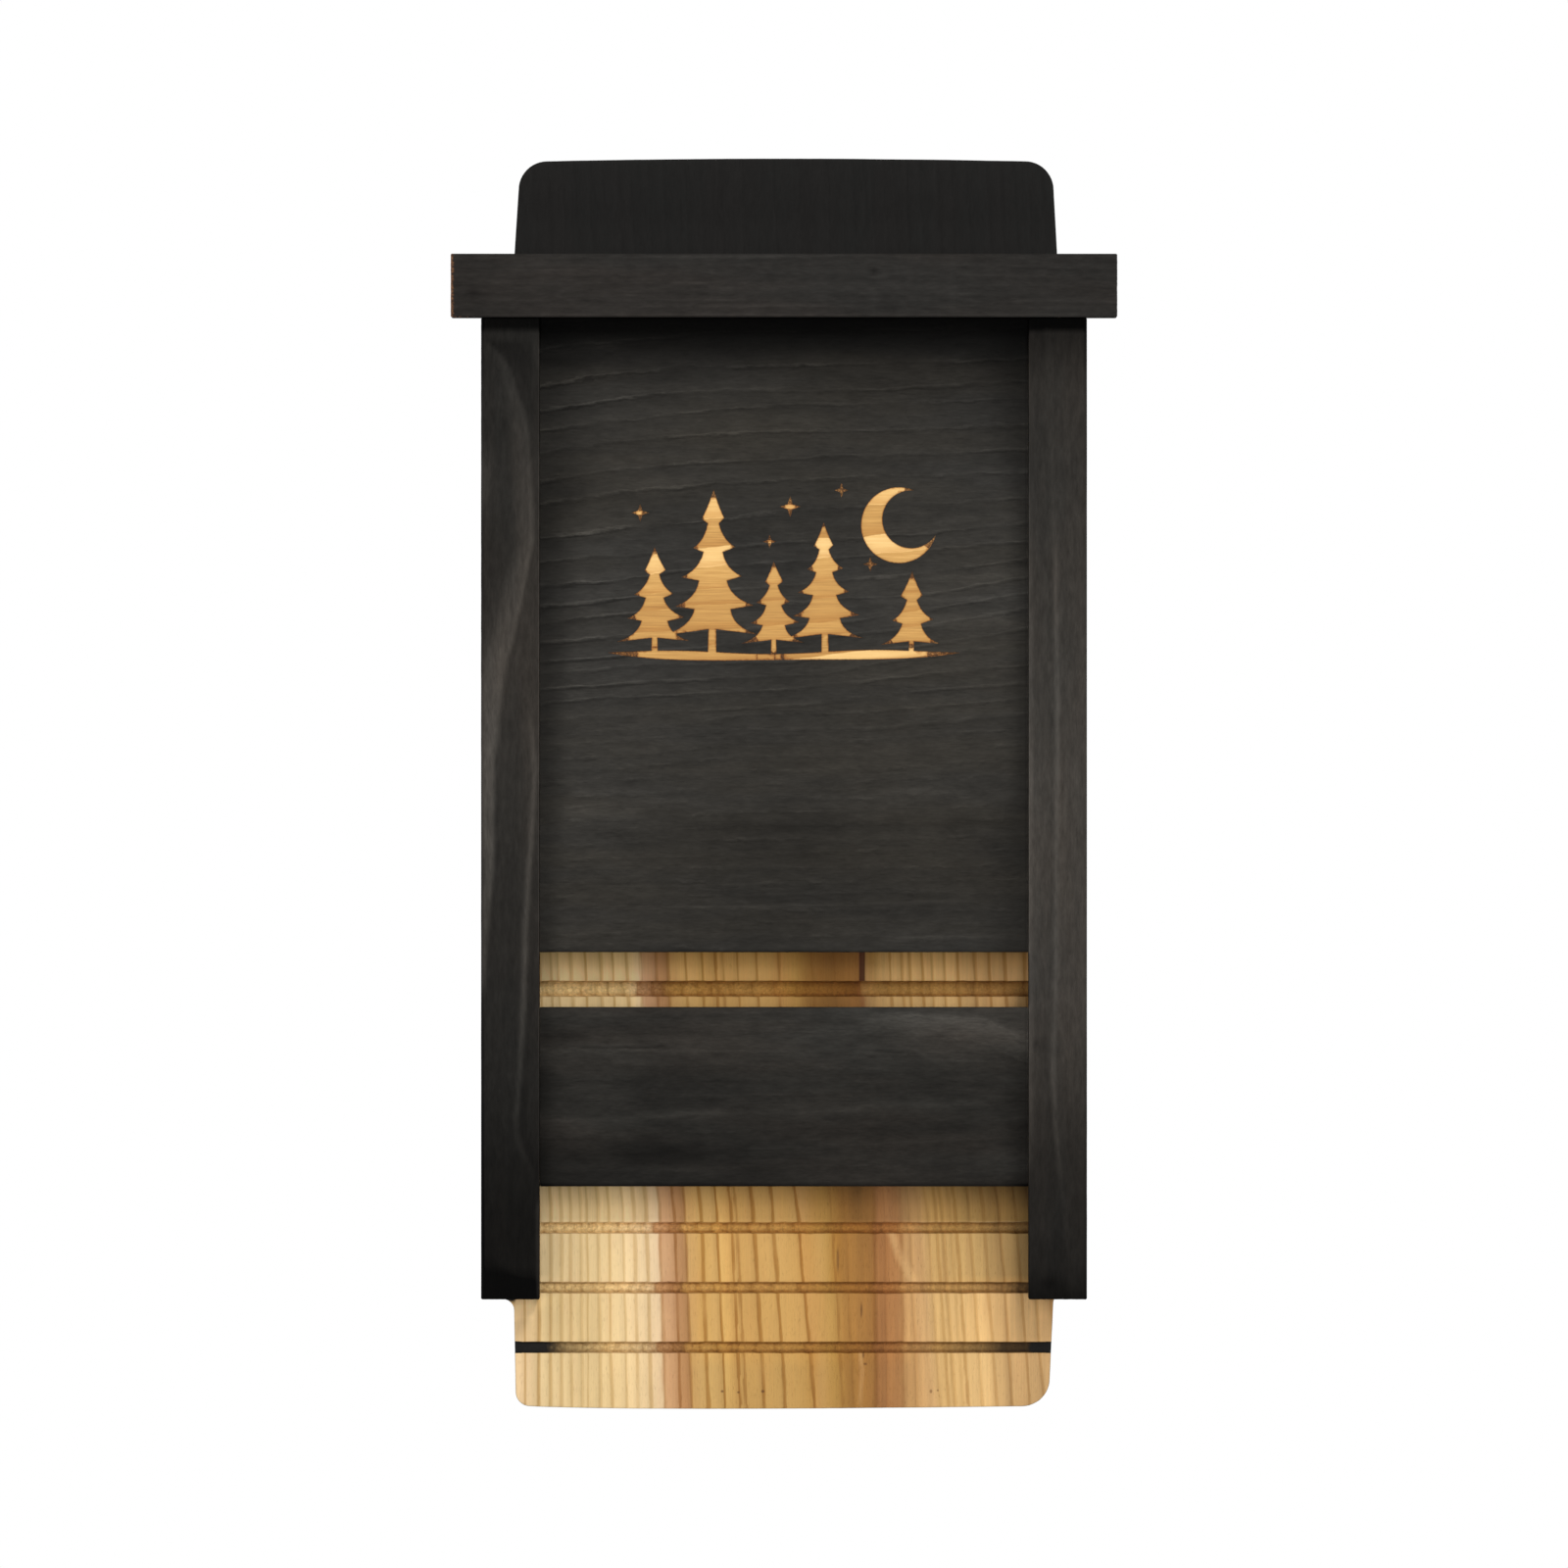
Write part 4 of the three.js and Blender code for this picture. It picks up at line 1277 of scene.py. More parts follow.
def rail_field(p, side, lo, hi):
    """Rings nest around the traced edge and lean over with depth."""
    u, v = in_view(p)
    path = LEFT_EDGE if side == "left" else RIGHT_EDGE
    t = (p[:, 1] - lo[1]) / S
    lean = 0.45 * t + 0.002 * t * t
    shifted = u + lean if side == "left" else u - lean
    d, s = near(shifted, v, path)
    d = d * S
    d = d + 0.5 * fbm(p[:, 2] * 0.012, p[:, 0] * 0.05, p[:, 1] * 0.05, 40)
    pitch = 4.6 + 0.8 * noise(p[:, 2] * 0.004, 0.3, 0.7, 41)
    return u, v, d / pitch, pitch, near(u, v, path)[0]


for side in ("left", "right"):
    node = f"{side}_rail"
    lo, hi = box_mm(node)

    def rail_relief(p, n):
        _, _, ring, pitch, _ = rail_field(p, side, lo, hi)
        h = -0.08 + 0.6 * grain_relief(ring, pitch, 1 - np.abs(n[:, 2]))
        h = h + 0.03 * fbm(p[:, 0] * 0.5, p[:, 1] * 0.4, p[:, 2] * 0.02, 22)
        inner = hi[0] - p[:, 0] if side == "left" else p[:, 0] - lo[0]
        at_panel = ramp(inner, 1.6, 0.9) * ramp(p[:, 1], lo[1] + 1.8, lo[1] + 1.0)
        return h + end_fibres(p, n, 2) + worn(p, n) * (1 - 0.8 * at_panel)

    verts, quads = block(lo, hi, (0.95, 1.9, 1.7), 0.75, rail_relief)
    ob = mesh_object(f"{side}_rail_wood", verts, [quads])
    cut(ob, *holes(f"{side}+screw"))
    p = points_of(ob)
    u, v, ring, pitch, d = rail_field(p, side, lo, hi)
    on_front = ramp(p[:, 1], lo[1] + 1.6, lo[1] + 0.6)
    amp = 0.12 + 0.08 * fbm(p[:, 2] * 0.01, ring * 0.7, 0, 50)
    if side == "left":
        stops = (
            [325, 345, 372, 400, 480, 640, 720, 800, 900, 1000, 1100, 1180, 1240, 1290, 1308, 1326],
            [-0.44, -0.42, -0.34, -0.20, -0.10, 0.0, 0.02, 0.0, -0.16, -0.34, -0.44, -0.67, -0.79, -0.82, -0.955, -0.97],
        )
    else:
        stops = (
            [325, 345, 372, 400, 480, 560, 640, 720, 800, 900, 1000, 1100, 1180, 1240, 1290, 1306, 1326],
            [-0.60, -0.56, -0.34, -0.12, -0.01, 0.12, 0.27, 0.38, 0.52, 0.42, 0.27, -0.07, -0.44, -0.55, -0.60, -0.72, -0.88],
        )
    tone = np.interp(v, *stops)
    # the stops hold painted shade under the roof at the top and grow darker towards the foot; off the front face both
    # are weaker
    tone = np.where(on_front > 0.5, tone, np.minimum(tone * 0.45, 0.0))
    # painted shadow of the roof across the top of the rail's front
    tone = tone - 0.45 * ramp(v, 340.5, 335.5) * on_front
    if side == "left":
        at = [350, 357, 400, 480, 560, 640, 720, 800, 900, 1000, 1020]
        soft = np.interp(v, [350, 480, 560, 640, 720, 800, 900, 1000], [2, 3, 1.5, 3, 7, 5, 4, 4])
        wide = np.interp(v, at, [8, 10, 20, 26, 24, 34, 40, 26, 18, 10, 8])
        k = np.interp(v, at, [0, 0.12, 0.24, 0.36, 0.46, 0.72, 1.22, 1.32, 1.02, 0.75, 0])
        crisp = np.interp(v, [400, 480, 560, 640, 720], [0, 0.05, 0.50, 0.10, 0])
        lite = ramp(d, 0.8, -soft) * ramp(d, -wide, -wide * 0.35) * k + bell(d + 3.0, 2.6) * crisp
        tone = tone + lite * on_front
        far = np.interp(d, [-48, -28, -14, -3], [-0.32, -0.28, -0.06, 0.0])
        tone = tone + far * ramp(d, 1, -1) * np.interp(v, [345, 380, 600, 700], [0, 1, 0.9, 0]) * on_front
        right_of = np.interp(v, [345, 352, 420, 480, 640, 800, 900, 1000], [0, 0.25, 0.25, 0.10, 0.06, 0.06, 0.12, 0])
        tone = tone - right_of * ramp(d, 0.2, 2.5) * ramp(d, 34, 18) * on_front
        tone = tone + 0.05 * ramp(d, -8, -20) * bell(v - 400, 30) * on_front
        # painted highlight on the inner arris just below the roof
        tone = tone + 0.12 * ramp(u, 542, 545) * ramp(v, 342, 350) * ramp(v, 412, 385) * on_front
        d2, s2 = near(u, v, LEFT_SECOND)
        k2 = ramp(s2, 0.02, 0.14) * ramp(s2, 0.99, 0.88) * np.interp(v, [700, 860, 980, 1020, 1090, 1200], [0.80, 0.88, 1.12, 1.0, 0.42, 0.16])
        tone = tone + bell(d2 + 0.2, 3.0) * k2 * on_front
        tone = tone - 0.10 * ramp(d2, 1.6, 3.4) * ramp(d2, 13, 7) * ramp(s2, 0.02, 0.14) * ramp(s2, 0.99, 0.88) * on_front
        tone = tone + 0.46 * spot(u, v, (494.5, 486), 8.5, 32) * on_front
        wedge = near(u, v, [(486, 1273), (494, 1280), (520, 1299), (548, 1320), (556, 1326)])[0]
        tone = tone - 0.10 * ramp(wedge, 7.0, -4.0) * ramp(v, 1262, 1285) * on_front
        rubbed = np.interp(v, [345, 360, 400, 440, 500, 560, 640, 700], [0.40, 0.35, 0.10, 0.0, 0.0, 0.28, 0.25, 0.45])
        tone = tone - rubbed * ramp(p[:, 0], lo[0] + 1.7, lo[0] + 0.5) * on_front
        tone = tone + ramp(d, -14, -26) * (0.16 * bell(v - 490, 45) + 0.13 * bell(v - 400, 30)) * on_front
        tone = tone - 0.10 * ramp(v, 1300, 1310) * ramp(p[:, 0], hi[0] - 0.6, hi[0] - 1.6) * on_front
        tone = tone - 0.18 * ramp(d, -9, -16) * bell(v - 760, 60) * on_front
        tone = tone - 0.14 * ramp(d, -6, -14) * bell(v - 715, 30) * on_front
        tone = tone + 0.32 * ramp(p[:, 0], hi[0] - 2.4, hi[0] - 0.9) * ramp(v, 1215, 1235) * on_front
        tone = tone - 0.09 * ramp(d, -1, -4) * bell(v - 800, 35) * on_front
        tone = tone + 0.03 * bell(v - 1288, 12) * on_front
        tint = 0.25 * spot(u, v, (520, 700), 26, 90) + 0.2 * ramp(v, 520, 580) * ramp(v, 1040, 960)
    else:
        k = np.interp(
            v,
            [330, 345, 400, 480, 560, 640, 800, 1000, 1100, 1180, 1240, 1290],
            [0.1, 0.1, 0.10, 0.18, 0.45, 0.85, 0.75, 0.72, 0.85, 0.38, 0.20, 0.08],
        )
        tone = tone + bell(d + 0.3, 2.8) * k * on_front
        tone = tone - 0.10 * bell(d + 5.0, 2.6) * k * on_front
        tone = tone + 0.05 * ramp(d, 0.5, 3.0) * on_front
        # painted highlight along the inner arris
        inner = 0.30 * ramp(v, 460, 560) + 0.20 * ramp(v, 560, 660)
        inner = inner + 0.22 * bell(v - 900, 150)
        tone = tone + inner * bell(u - 1051.6, 2.5) * on_front * ramp(v, 1230, 1120)
        tone = tone + 0.08 * ramp(d, 0, 4) * bell(v - 1050, 90) * on_front
        tone = tone - 0.26 * ramp(p[:, 0], hi[0] - 2.2, hi[0] - 0.5) * on_front * np.interp(v, [480, 600], [1.0, 0.5])
        tone = tone + 0.07 * ramp(v, 740, 800) * ramp(v, 1130, 1060) * on_front + 0.10 * ramp(u, 1068, 1062) * bell(v - 820, 110) * on_front
        tone = tone + 0.07 * bell(v - 1240, 22) * ramp(u, 1086, 1080) * on_front - 0.07 * bell(v - 352, 20) * on_front
        tone = tone - 0.22 * spot(u, v, (1060, 1065), 7, 6) * on_front
        tone = tone - 0.16 * spot(u, v, (1064, 735), 2.5, 12) * on_front
        tone = tone - 0.14 * spot(u, v, (1071, 1308), 9, 6) * on_front
        tint = 0.35 * ramp(d, 0.0, 4.0) * ramp(v, 640, 760) * ramp(v, 1200, 1000) + 0.12
    inner = hi[0] - p[:, 0] if side == "left" else p[:, 0] - lo[0]
    # painted light along the inner arris beside the panels, lifting the shaded joint
    beside = ramp(v, 340, 352) * ramp(v, 974, 970) + ramp(v, 1025, 1029) * ramp(v, 1210, 1206)
    tone = (1 + tone) * (1 + 1.2 * ramp(inner, 0.62, 0.12) * on_front * beside) - 1
    paint(ob, ring=ring, gap=pitch, amp=amp, tone=tone, tint=tint, broken=0.0 * u + 0.3)
    dress(ob, node, [BLACK_RAIL])

# --------------------------------------------------------------------- board
GROOVE_DEPTH, BOARD_T, ARRIS = 2.5, 19.0, 0.8
GROOVE_Z = [GROOVE_FIRST + GROOVE_PITCH * i for i in range(GROOVE_COUNT)]
GROOVE_HALF = np.array([3.95 if i == VENT_GROOVE else 2.85 for i in range(GROOVE_COUNT)])
FINE = {0, 1, 2, 3, 5, 6, 7}


def groove_rows(i):
    """Heights of the net's rows across a groove, from its middle."""
    h = GROOVE_HALF[i]
    if i not in FINE:
        half = [h + 0.7, h, h - 0.5]
    else:
        half = [h + 0.7, h, h - 0.18, h - 0.5, h - 0.85] + ([2.1, 1.05] if h > 3 else [0.95])
    return [-o for o in half] + ([0.0] if i in FINE else []) + half[::-1]



rows = [-303.2, -302.0, -300.0]
for i, zc in enumerate(GROOVE_Z):
    rows += [zc + o for o in groove_rows(i)]
    first = zc + GROOVE_HALF[i] + 0.7
    nxt = GROOVE_Z[i + 1] - GROOVE_HALF[i + 1] - 0.7 if i + 1 < GROOVE_COUNT else 300.0
    step = 2.6 if i < 8 else 4.6
    n = int(round((nxt - first) / step))
    rows += list(np.linspace(first, nxt, n + 1)[1:-1])
low = np.linspace(-300.0, GROOVE_Z[0] - GROOVE_HALF[0] - 0.7, 10)[1:-1]
rows = np.array(sorted(rows + list(low) + [300.0, 302.0, 303.4]))
cols = np.concatenate([np.arange(-146, -132, 2.8), np.linspace(-131.5, 131.5, 212), np.arange(134.8, 146.1, 2.8)])


def groove_depth(z):
    out = np.zeros_like(z)
    for zc, h in zip(GROOVE_Z, GROOVE_HALF):
        a = np.abs(z - zc)
        out = np.maximum(out, np.interp(a, [0, h - 0.85, h - 0.5, h - 0.18, h], [2.5, 2.46, 2.05, 0.55, 0.0]))
    return out


def groove_index(z):
    return np.round((z - GROOVE_FIRST) / GROOVE_PITCH)


def ragged(x, z):
    """The cut edges of the grooves wander and chip a little."""
    i = groove_index(z)
    h = GROOVE_HALF[np.clip(i, 0, GROOVE_COUNT - 1).astype(int)]
    o = z - (GROOVE_FIRST + GROOVE_PITCH * i)
    w = np.interp(np.abs(o) - h, [-1.7, -0.85, 0.0, 0.7], [0, 1, 1, 0])
    side = np.sign(o)
    a = fbm(x * 0.22, side * 5.0, i * 3.0, 60, 3) * 0.12
    chip = np.clip(noise(x * 0.16, side * 9.0, i * 7.0, 61) - 0.6, 0, 1) * 0.6
    return w * np.clip(a + side * chip, -0.3, 0.3)


def arc(cx, cz, r, a0, a1, n):
    a = np.radians(np.linspace(a0, a1, n + 1))
    return list(zip(cx + r * np.cos(a), cz + r * np.sin(a)))


def run(a, b):
    """Points from a to b, at the net's rows on an upright edge, with both ends left out."""
    (x0, z0), (x1, z1) = a, b
    if abs(z1 - z0) > abs(x1 - x0):
        lo_, hi_ = min(z0, z1), max(z0, z1)
        zs = rows[(rows > lo_ + 0.25) & (rows < hi_ - 0.25)]
        zs = zs if z1 > z0 else zs[::-1]
        return [(x0 + (x1 - x0) * (z - z0) / (z1 - z0), z) for z in zs]
    n = max(1, int(abs(x1 - x0) / 2.4))
    return [(x0 + (x1 - x0) * t, z0 + (z1 - z0) * t) for t in np.linspace(0, 1, n + 1)[1:-1]]


def crown(a, c, b, n):
    return [
        ((1 - t) ** 2 * a[0] + 2 * t * (1 - t) * c[0] + t * t * b[0],
         (1 - t) ** 2 * a[1] + 2 * t * (1 - t) * c[1] + t * t * b[1])
        for t in np.linspace(0, 1, n + 1)[1:-1]
    ]


def board_outline():
    pieces = [
        arc(-146.5, 251.75, 1.0, 180, 90, 3),
        arc(-137.0, 258.25, 5.5, -90, 0, 6),
        arc(-115.5, 289.75, 14.0, 180, 90, 12),
        crown((-115.5, 303.75), (0, 306.25), (117.5, 303.75), 96),
        arc(117.5, 289.75, 14.0, 90, 0, 12),
        arc(138.75, 258.25, 5.5, 180, 270, 6),
        arc(146.5, 251.75, 1.0, 90, 0, 3),
        arc(146.5, -247.0, 1.0, 0, -90, 3),
        arc(136.8, -253.5, 5.5, 90, 180, 6),
        arc(116.1, -290.0, 13.5, 0, -90, 12),
        crown((116.1, -303.5), (-70.0, -306.0), (-123.9, -303.5), 100),
        arc(-123.9, -296.5, 7.0, -90, -180, 8),
        arc(-137.1, -256.75, 5.5, 0, 90, 6),
        arc(-146.5, -250.25, 1.0, -90, -180, 3),
    ]
    out = []
    for i, part in enumerate(pieces):
        out += part
        nxt = pieces[(i + 1) % len(pieces)][0]
        if math.hypot(nxt[0] - part[-1][0], nxt[1] - part[-1][1]) > 3.0:
            out += run(part[-1], nxt)
    return np.array(out)


outline = board_outline()
M = len(outline)
t0 = outline - np.roll(outline, 1, axis=0)
t1 = np.roll(outline, -1, axis=0) - outline
t0 /= np.linalg.norm(t0, axis=1)[:, None]
t1 /= np.linalg.norm(t1, axis=1)[:, None]
n0 = np.stack([-t0[:, 1], t0[:, 0]], 1)
n1 = np.stack([-t1[:, 1], t1[:, 0]], 1)
out_n = n0 + n1
out_n /= np.linalg.norm(out_n, axis=1)[:, None]
miter = 1.0 / np.clip((out_n * n0).sum(1), 0.6, 1)
# the sawn edges of the head and tail wander slightly
sway = 0.07 * (fbm(outline[:, 0] * 0.04, outline[:, 1] * 0.04, 0, 70) - 0.6)
sway = sway + 0.035 * fbm(outline[:, 0] * 0.5, outline[:, 1] * 0.5, 0, 71)
rim_xz = outline + out_n * sway[:, None]
cap_xz = rim_xz - out_n * (ARRIS * miter)[:, None]


gx, gz = np.meshgrid(cols, rows, indexing="ij")
grid = np.stack([gx.ravel(), gz.ravel()], 1)
ok = np.ones(len(grid), bool)
edge_zone = (np.abs(grid[:, 0]) > 110) | (np.abs(grid[:, 1]) > 296)
q = grid[edge_zone]
good = inside_poly(q, cap_xz) & (segment_distance(q, cap_xz, np.roll(cap_xz, -1, axis=0)) > 0.9)
ok[edge_zone] = good
ok = ok.reshape(gx.shape)
cell = ok[:-1, :-1] & ok[1:, :-1] & ok[1:, 1:] & ok[:-1, 1:]
node_used = np.zeros_like(ok)
node_used[:-1, :-1] |= cell
node_used[1:, :-1] |= cell
node_used[1:, 1:] |= cell
node_used[:-1, 1:] |= cell
gid = -np.ones(ok.shape, int)
gid[node_used] = np.arange(node_used.sum())
ci, ck = np.nonzero(cell)
grid_quads = np.stack([gid[ci, ck], gid[ci + 1, ck], gid[ci + 1, ck + 1], gid[ci, ck + 1]], 1)
gpts = np.stack([gx[node_used], gz[node_used]], 1)
G = len(gpts)
edges = {}
for a, b in ((0, 1), (1, 2), (2, 3), (3, 0)):
    for e in grid_quads[:, [a, b]].tolist():
        edges[tuple(e)] = True
border = [e for e in edges if (e[1], e[0]) not in edges]
border_nodes = sorted({i for e in border for i in e})
local = {g: i for i, g in enumerate(border_nodes)}
coords = [Vector(p) for p in gpts[border_nodes]] + [Vector(p) for p in cap_xz]
B = len(border_nodes)
cons = [(local[a], local[b]) for a, b in border] + [(B + i, B + (i + 1) % M) for i in range(M)]
vs, _, fs, ov, _, _ = delaunay_2d_cdt(coords, cons, [], 0, 1e-6, True)
vs = np.array([tuple(v) for v in vs])
back_to = np.array([o[0] for o in ov])
tris = np.array([f for f in fs if len(f) == 3])
mid = vs[tris].mean(1)
keep = inside_poly(mid, cap_xz)
ic = np.clip(np.searchsorted(cols, mid[:, 0]) - 1, 0, len(cols) - 2)
kc = np.clip(np.searchsorted(rows, mid[:, 1]) - 1, 0, len(rows) - 2)
in_net = (mid[:, 0] > cols[0]) & (mid[:, 0] < cols[-1]) & (mid[:, 1] > rows[0]) & (mid[:, 1] < rows[-1])
keep &= ~(in_net & cell[ic, kc])
tris = tris[keep]
a, b, c = vs[tris[:, 0]], vs[tris[:, 1]], vs[tris[:, 2]]
area = (b[:, 0] - a[:, 0]) * (c[:, 1] - a[:, 1]) - (b[:, 1] - a[:, 1]) * (c[:, 0] - a[:, 0])
tris = np.where(area[:, None] < 0, tris[:, ::-1], tris)
to_all = np.concatenate([np.array(border_nodes), G + np.arange(M)])
tris = to_all[back_to[tris]]

VENT_LINES_U = [
    541, 551, 562.4, 569.3, 583, 597.7, 613, 625.2, 639.9, 653.7, 670, 682, 700, 716.5, 731, 738, 753.5,
    772.5, 794.9, 828.7, 853, 882.5, 908.8, 920.9, 928.6, 941.5, 951, 963.9, 977.7, 994.9, 1009.6,
    1025.9, 1046.6, 1060, 1074, 1088,
]
VENT_FORCE = dict(zip(range(100, 136), [
    .5, .5, .45, .35, .5, .6, .5, .55, .5, .45, .5, .5, .6, .6, .7, .45, .6, .6, .5, .2, .1, .1, .5, .45, .5,
    .6, .5, .45, .6, .5, .6, .6, .6, .5, .5, .5,
]))
FOOT_FORCE = dict(zip(range(47), [
    .5, .5, .55, .45, .52, .62, .48, .36, .36, .28, .40, .32, .42, .34, .40, .46, .42, .68, .52, .72, .82, .74, .55,
    .76, .74, .80, .38, .20, .38, .15, .30, .20, .10, .20, .35, .30, .20, .44, .34, .36, .44, .46, .40, .4, .5, .4, .4,
]))
FOOT_LINES_U = [
    484, 497, 511, 523, 535.8, 550, 562, 573.1, 583, 594.3, 600.3, 612.6, 624.0, 639.5, 651.3, 664.2,
    678.3, 693.9, 705.2, 722.2, 739, 754.8, 760, 779, 799.9, 830, 859.5, 870, 894, 905, 921.5, 935,
    949, 958, 966.8, 973, 981.5, 986.8, 1001, 1015.6, 1031.8, 1049.2, 1063.6, 1079, 1094, 1108, 1122,
]
LEAN_U = [480, 570, 650, 705, 738, 778, 800, 830, 860, 894, 921, 949, 1000, 1108, 1125]
LEAN_S = [0, 0, 4.2, 6.3, 7.4, 10.5, 11.6, 17, 10.5, 1.5, 2, 12, 12.4, 14, 14]


def foot_place(uref, v):
    """Where the line that is at uref on the board's foot lies at height v."""
    s = np.interp(uref, LEAN_U, LEAN_S) / 178.4
    return uref - s * (1410 - v) - 0.075 * np.maximum(1231 - v, 0)


def board_field(p):
    u, v = in_view(p)
    # rings lean over with depth, as the floors of the grooves show
    deep = np.clip(p[:, 1] + BOARD_T, 0, None)
    u = u + np.interp(u, [790, 950], [1.1, 0.3]) * (np.minimum(deep, 2.6) + 0.3 * np.clip(deep - 2.6, 0, None)) / S
    table = np.array(FOOT_LINES_U)
    pos = np.stack([foot_place(np.full_like(v, t), v) for t in table], 1)
    for i in range(1, pos.shape[1]):
        pos[:, i] = np.maximum(pos[:, i], pos[:, i - 1] + 2.0)
    i = np.clip((pos <= u[:, None]).sum(1) - 1, 0, len(table) - 2)[:, None]
    lo_, hi_ = np.take_along_axis(pos, i, 1)[:, 0], np.take_along_axis(pos, i + 1, 1)[:, 0]
    f = (u - lo_) / (hi_ - lo_)
    i = i[:, 0]
    uref = table[i] + f * (table[i + 1] - table[i])
    ring, gap = i + f, hi_ - lo_
    # the strip behind the vent, and all above it
    up = v < 1120
    tv = np.array(VENT_LINES_U)
    w = u[up] - 0.05 * (v[up] - 988)
    j = np.clip(np.searchsorted(tv, w) - 1, 0, len(tv) - 2)
    g = (w - tv[j]) / (tv[j + 1] - tv[j])
    ring[up], gap[up] = 100 + j + g, (tv[j + 1] - tv[j])
    uref[up] = np.interp(
        w,
        [541, 600, 641, 653.7, 682, 760, 817, 877, 884.5, 960, 1046, 1100],
        [540, 600, 612, 676.8, 705.2, 790, 859.5, 893, 952, 1000, 1060, 1105],
    )
    return u, v, ring, gap * S, uref


all_xz = np.concatenate([gpts, cap_xz])
d = groove_depth(all_xz[:, 1])
p3 = np.stack([all_xz[:, 0], -BOARD_T + d, all_xz[:, 1]], 1)
_, _, ring, gap, _ = board_field(p3)
dl = (ring - np.round(ring)) * gap
rise = 0.05 + 0.09 * bell(dl, 0.5) + 0.03 * fbm(p3[:, 0] * 0.6, 0, p3[:, 2] * 0.03, 80)
in_floor = ramp(d, 1.2, 2.4)
rise = rise + in_floor * (0.08 * fbm(p3[:, 0] * 0.38, 0, p3[:, 2] * 0.5, 81))
y_front = -BOARD_T + d + np.clip(rise, 0, None)
z_warp = all_xz[:, 1] + ragged(all_xz[:, 0], all_xz[:, 1])
front_verts = np.stack([all_xz[:, 0], y_front, z_warp], 1)
cap_y = y_front[G:]
cap_z = z_warp[G:]
dz = cap_z - cap_xz[:, 1]

loops, ids = [], [G + np.arange(M)]
verts = [front_verts]
count = len(front_verts)


def add_loop(offset, y):
    """offset is how far the loop lies inside the board's edge."""
    global count
    q = rim_xz - out_n * (offset * (miter if offset > 0 else 1.0))[:, None] if np.ndim(offset) else rim_xz - out_n * (offset * miter)[:, None]
    w = np.clip(1 - (y + BOARD_T) / 6.0, 0, 1) if np.ndim(y) else np.full(M, max(0.0, 1 - (y + BOARD_T) / 6.0))
    verts.append(np.stack([q[:, 0], np.broadcast_to(y, (M,)), q[:, 1] + dz * w], 1))
    ids.append(count + np.arange(M))
    count += M


for th in (30, 60, 90):
    s, c_ = math.sin(math.radians(th)), math.cos(math.radians(th))
    add_loop(ARRIS * (1 - s), cap_y + ARRIS * (1 - c_))
for y in (-13.5, -10.0, -6.5, -3.2):
    add_loop(0.0, y)
for th in (90, 60, 30, 0):
    s, c_ = math.sin(math.radians(th)), math.cos(math.radians(th))
    add_loop(ARRIS * (1 - s), -ARRIS * (1 - c_))
side_quads = []
for a, b in zip(ids[:-1], ids[1:]):
    side_quads.append(np.stack([a, np.roll(a, -1), np.roll(b, -1), b], 1))
side_quads = np.concatenate(side_quads)
# back face
gx, gz = np.meshgrid(np.arange(-140, 141, 10.0), np.arange(-295, 296, 10.0))
bg = np.stack([gx.ravel(), gz.ravel()], 1)
bg = bg[inside_poly(bg, cap_xz)]
bg = bg[segment_distance(bg, cap_xz, np.roll(cap_xz, -1, axis=0)) > 5.0]
bcap = verts[-1][:, [0, 2]]
coords = [Vector(q_) for q_ in bcap] + [Vector(q_) for q_ in bg]
cons = [(i, (i + 1) % M) for i in range(M)]
vs, _, fs, ov, _, _ = delaunay_2d_cdt(coords, cons, [], 0, 1e-6, True)
vs = np.array([tuple(v_) for v_ in vs])
bt = np.array([f for f in fs if len(f) == 3])
bt = bt[inside_poly(vs[bt].mean(1), bcap)]
a, b, c = vs[bt[:, 0]], vs[bt[:, 1]], vs[bt[:, 2]]
area = (b[:, 0] - a[:, 0]) * (c[:, 1] - a[:, 1]) - (b[:, 1] - a[:, 1]) * (c[:, 0] - a[:, 0])
bt = np.where(area[:, None] > 0, bt[:, ::-1], bt)
back_ids = np.concatenate([ids[-1], count + np.arange(len(bg))])
bt = back_ids[np.array([o[0] for o in ov])[bt]]
verts.append(np.stack([bg[:, 0], np.zeros(len(bg)), bg[:, 1]], 1))
ob = mesh_object("back_board_wood", np.concatenate(verts), [grid_quads, tris, side_quads, bt])
cut(ob, *holes("rear_screw"))

p = points_of(ob)
u, v, ring, gap, uref = board_field(p)
depth = np.clip(p[:, 1] + BOARD_T - 0.06, 0, 3.0)
gi = groove_index(p[:, 2])
half = GROOVE_HALF[np.clip(gi, 0, GROOVE_COUNT - 1).astype(int)]
chip = ragged(p[:, 0], p[:, 2])
off = np.abs(p[:, 2] - (GROOVE_FIRST + GROOVE_PITCH * gi))
depth = np.where((off < half + 0.6) & (np.abs(gi - 8) <= 8.1), depth, 0.0)
in_g = ramp(depth, 0.25, 0.9)
# painted shade near the rails and under their ends joins the black stain that crept into the grooves' ends
soot = 0.0 * u
soot += in_g * (gi == 0) * (np.interp(u, [554, 566, 580, 612], [0.9, 0.52, 0.28, 0]) + np.interp(u, [1000, 1030, 1049, 1058], [0, 0.12, 0.22, 0.9]))
soot += in_g * (gi == 1) * np.interp(u, [960, 1015, 1049], [0, 0.22, 0.45])
soot += in_g * (gi == 1) * 0.22 * ramp(u, 580, 548)
soot += in_g * (gi == 2) * 0.30 * ramp(u, 985, 1048)
soot += in_g * (gi == 6) * 0.25 * ramp(u, 1010, 1049)
soot += 0.7 * ramp(v, 1328.5, 1324.5) * ramp(u, 545, 526) + 0.4 * ramp(v, 1337, 1325) * ramp(u, 528, 524) + 0.35 * ramp(v, 1331.5, 1326.0) * ramp(u, 1062, 1073)
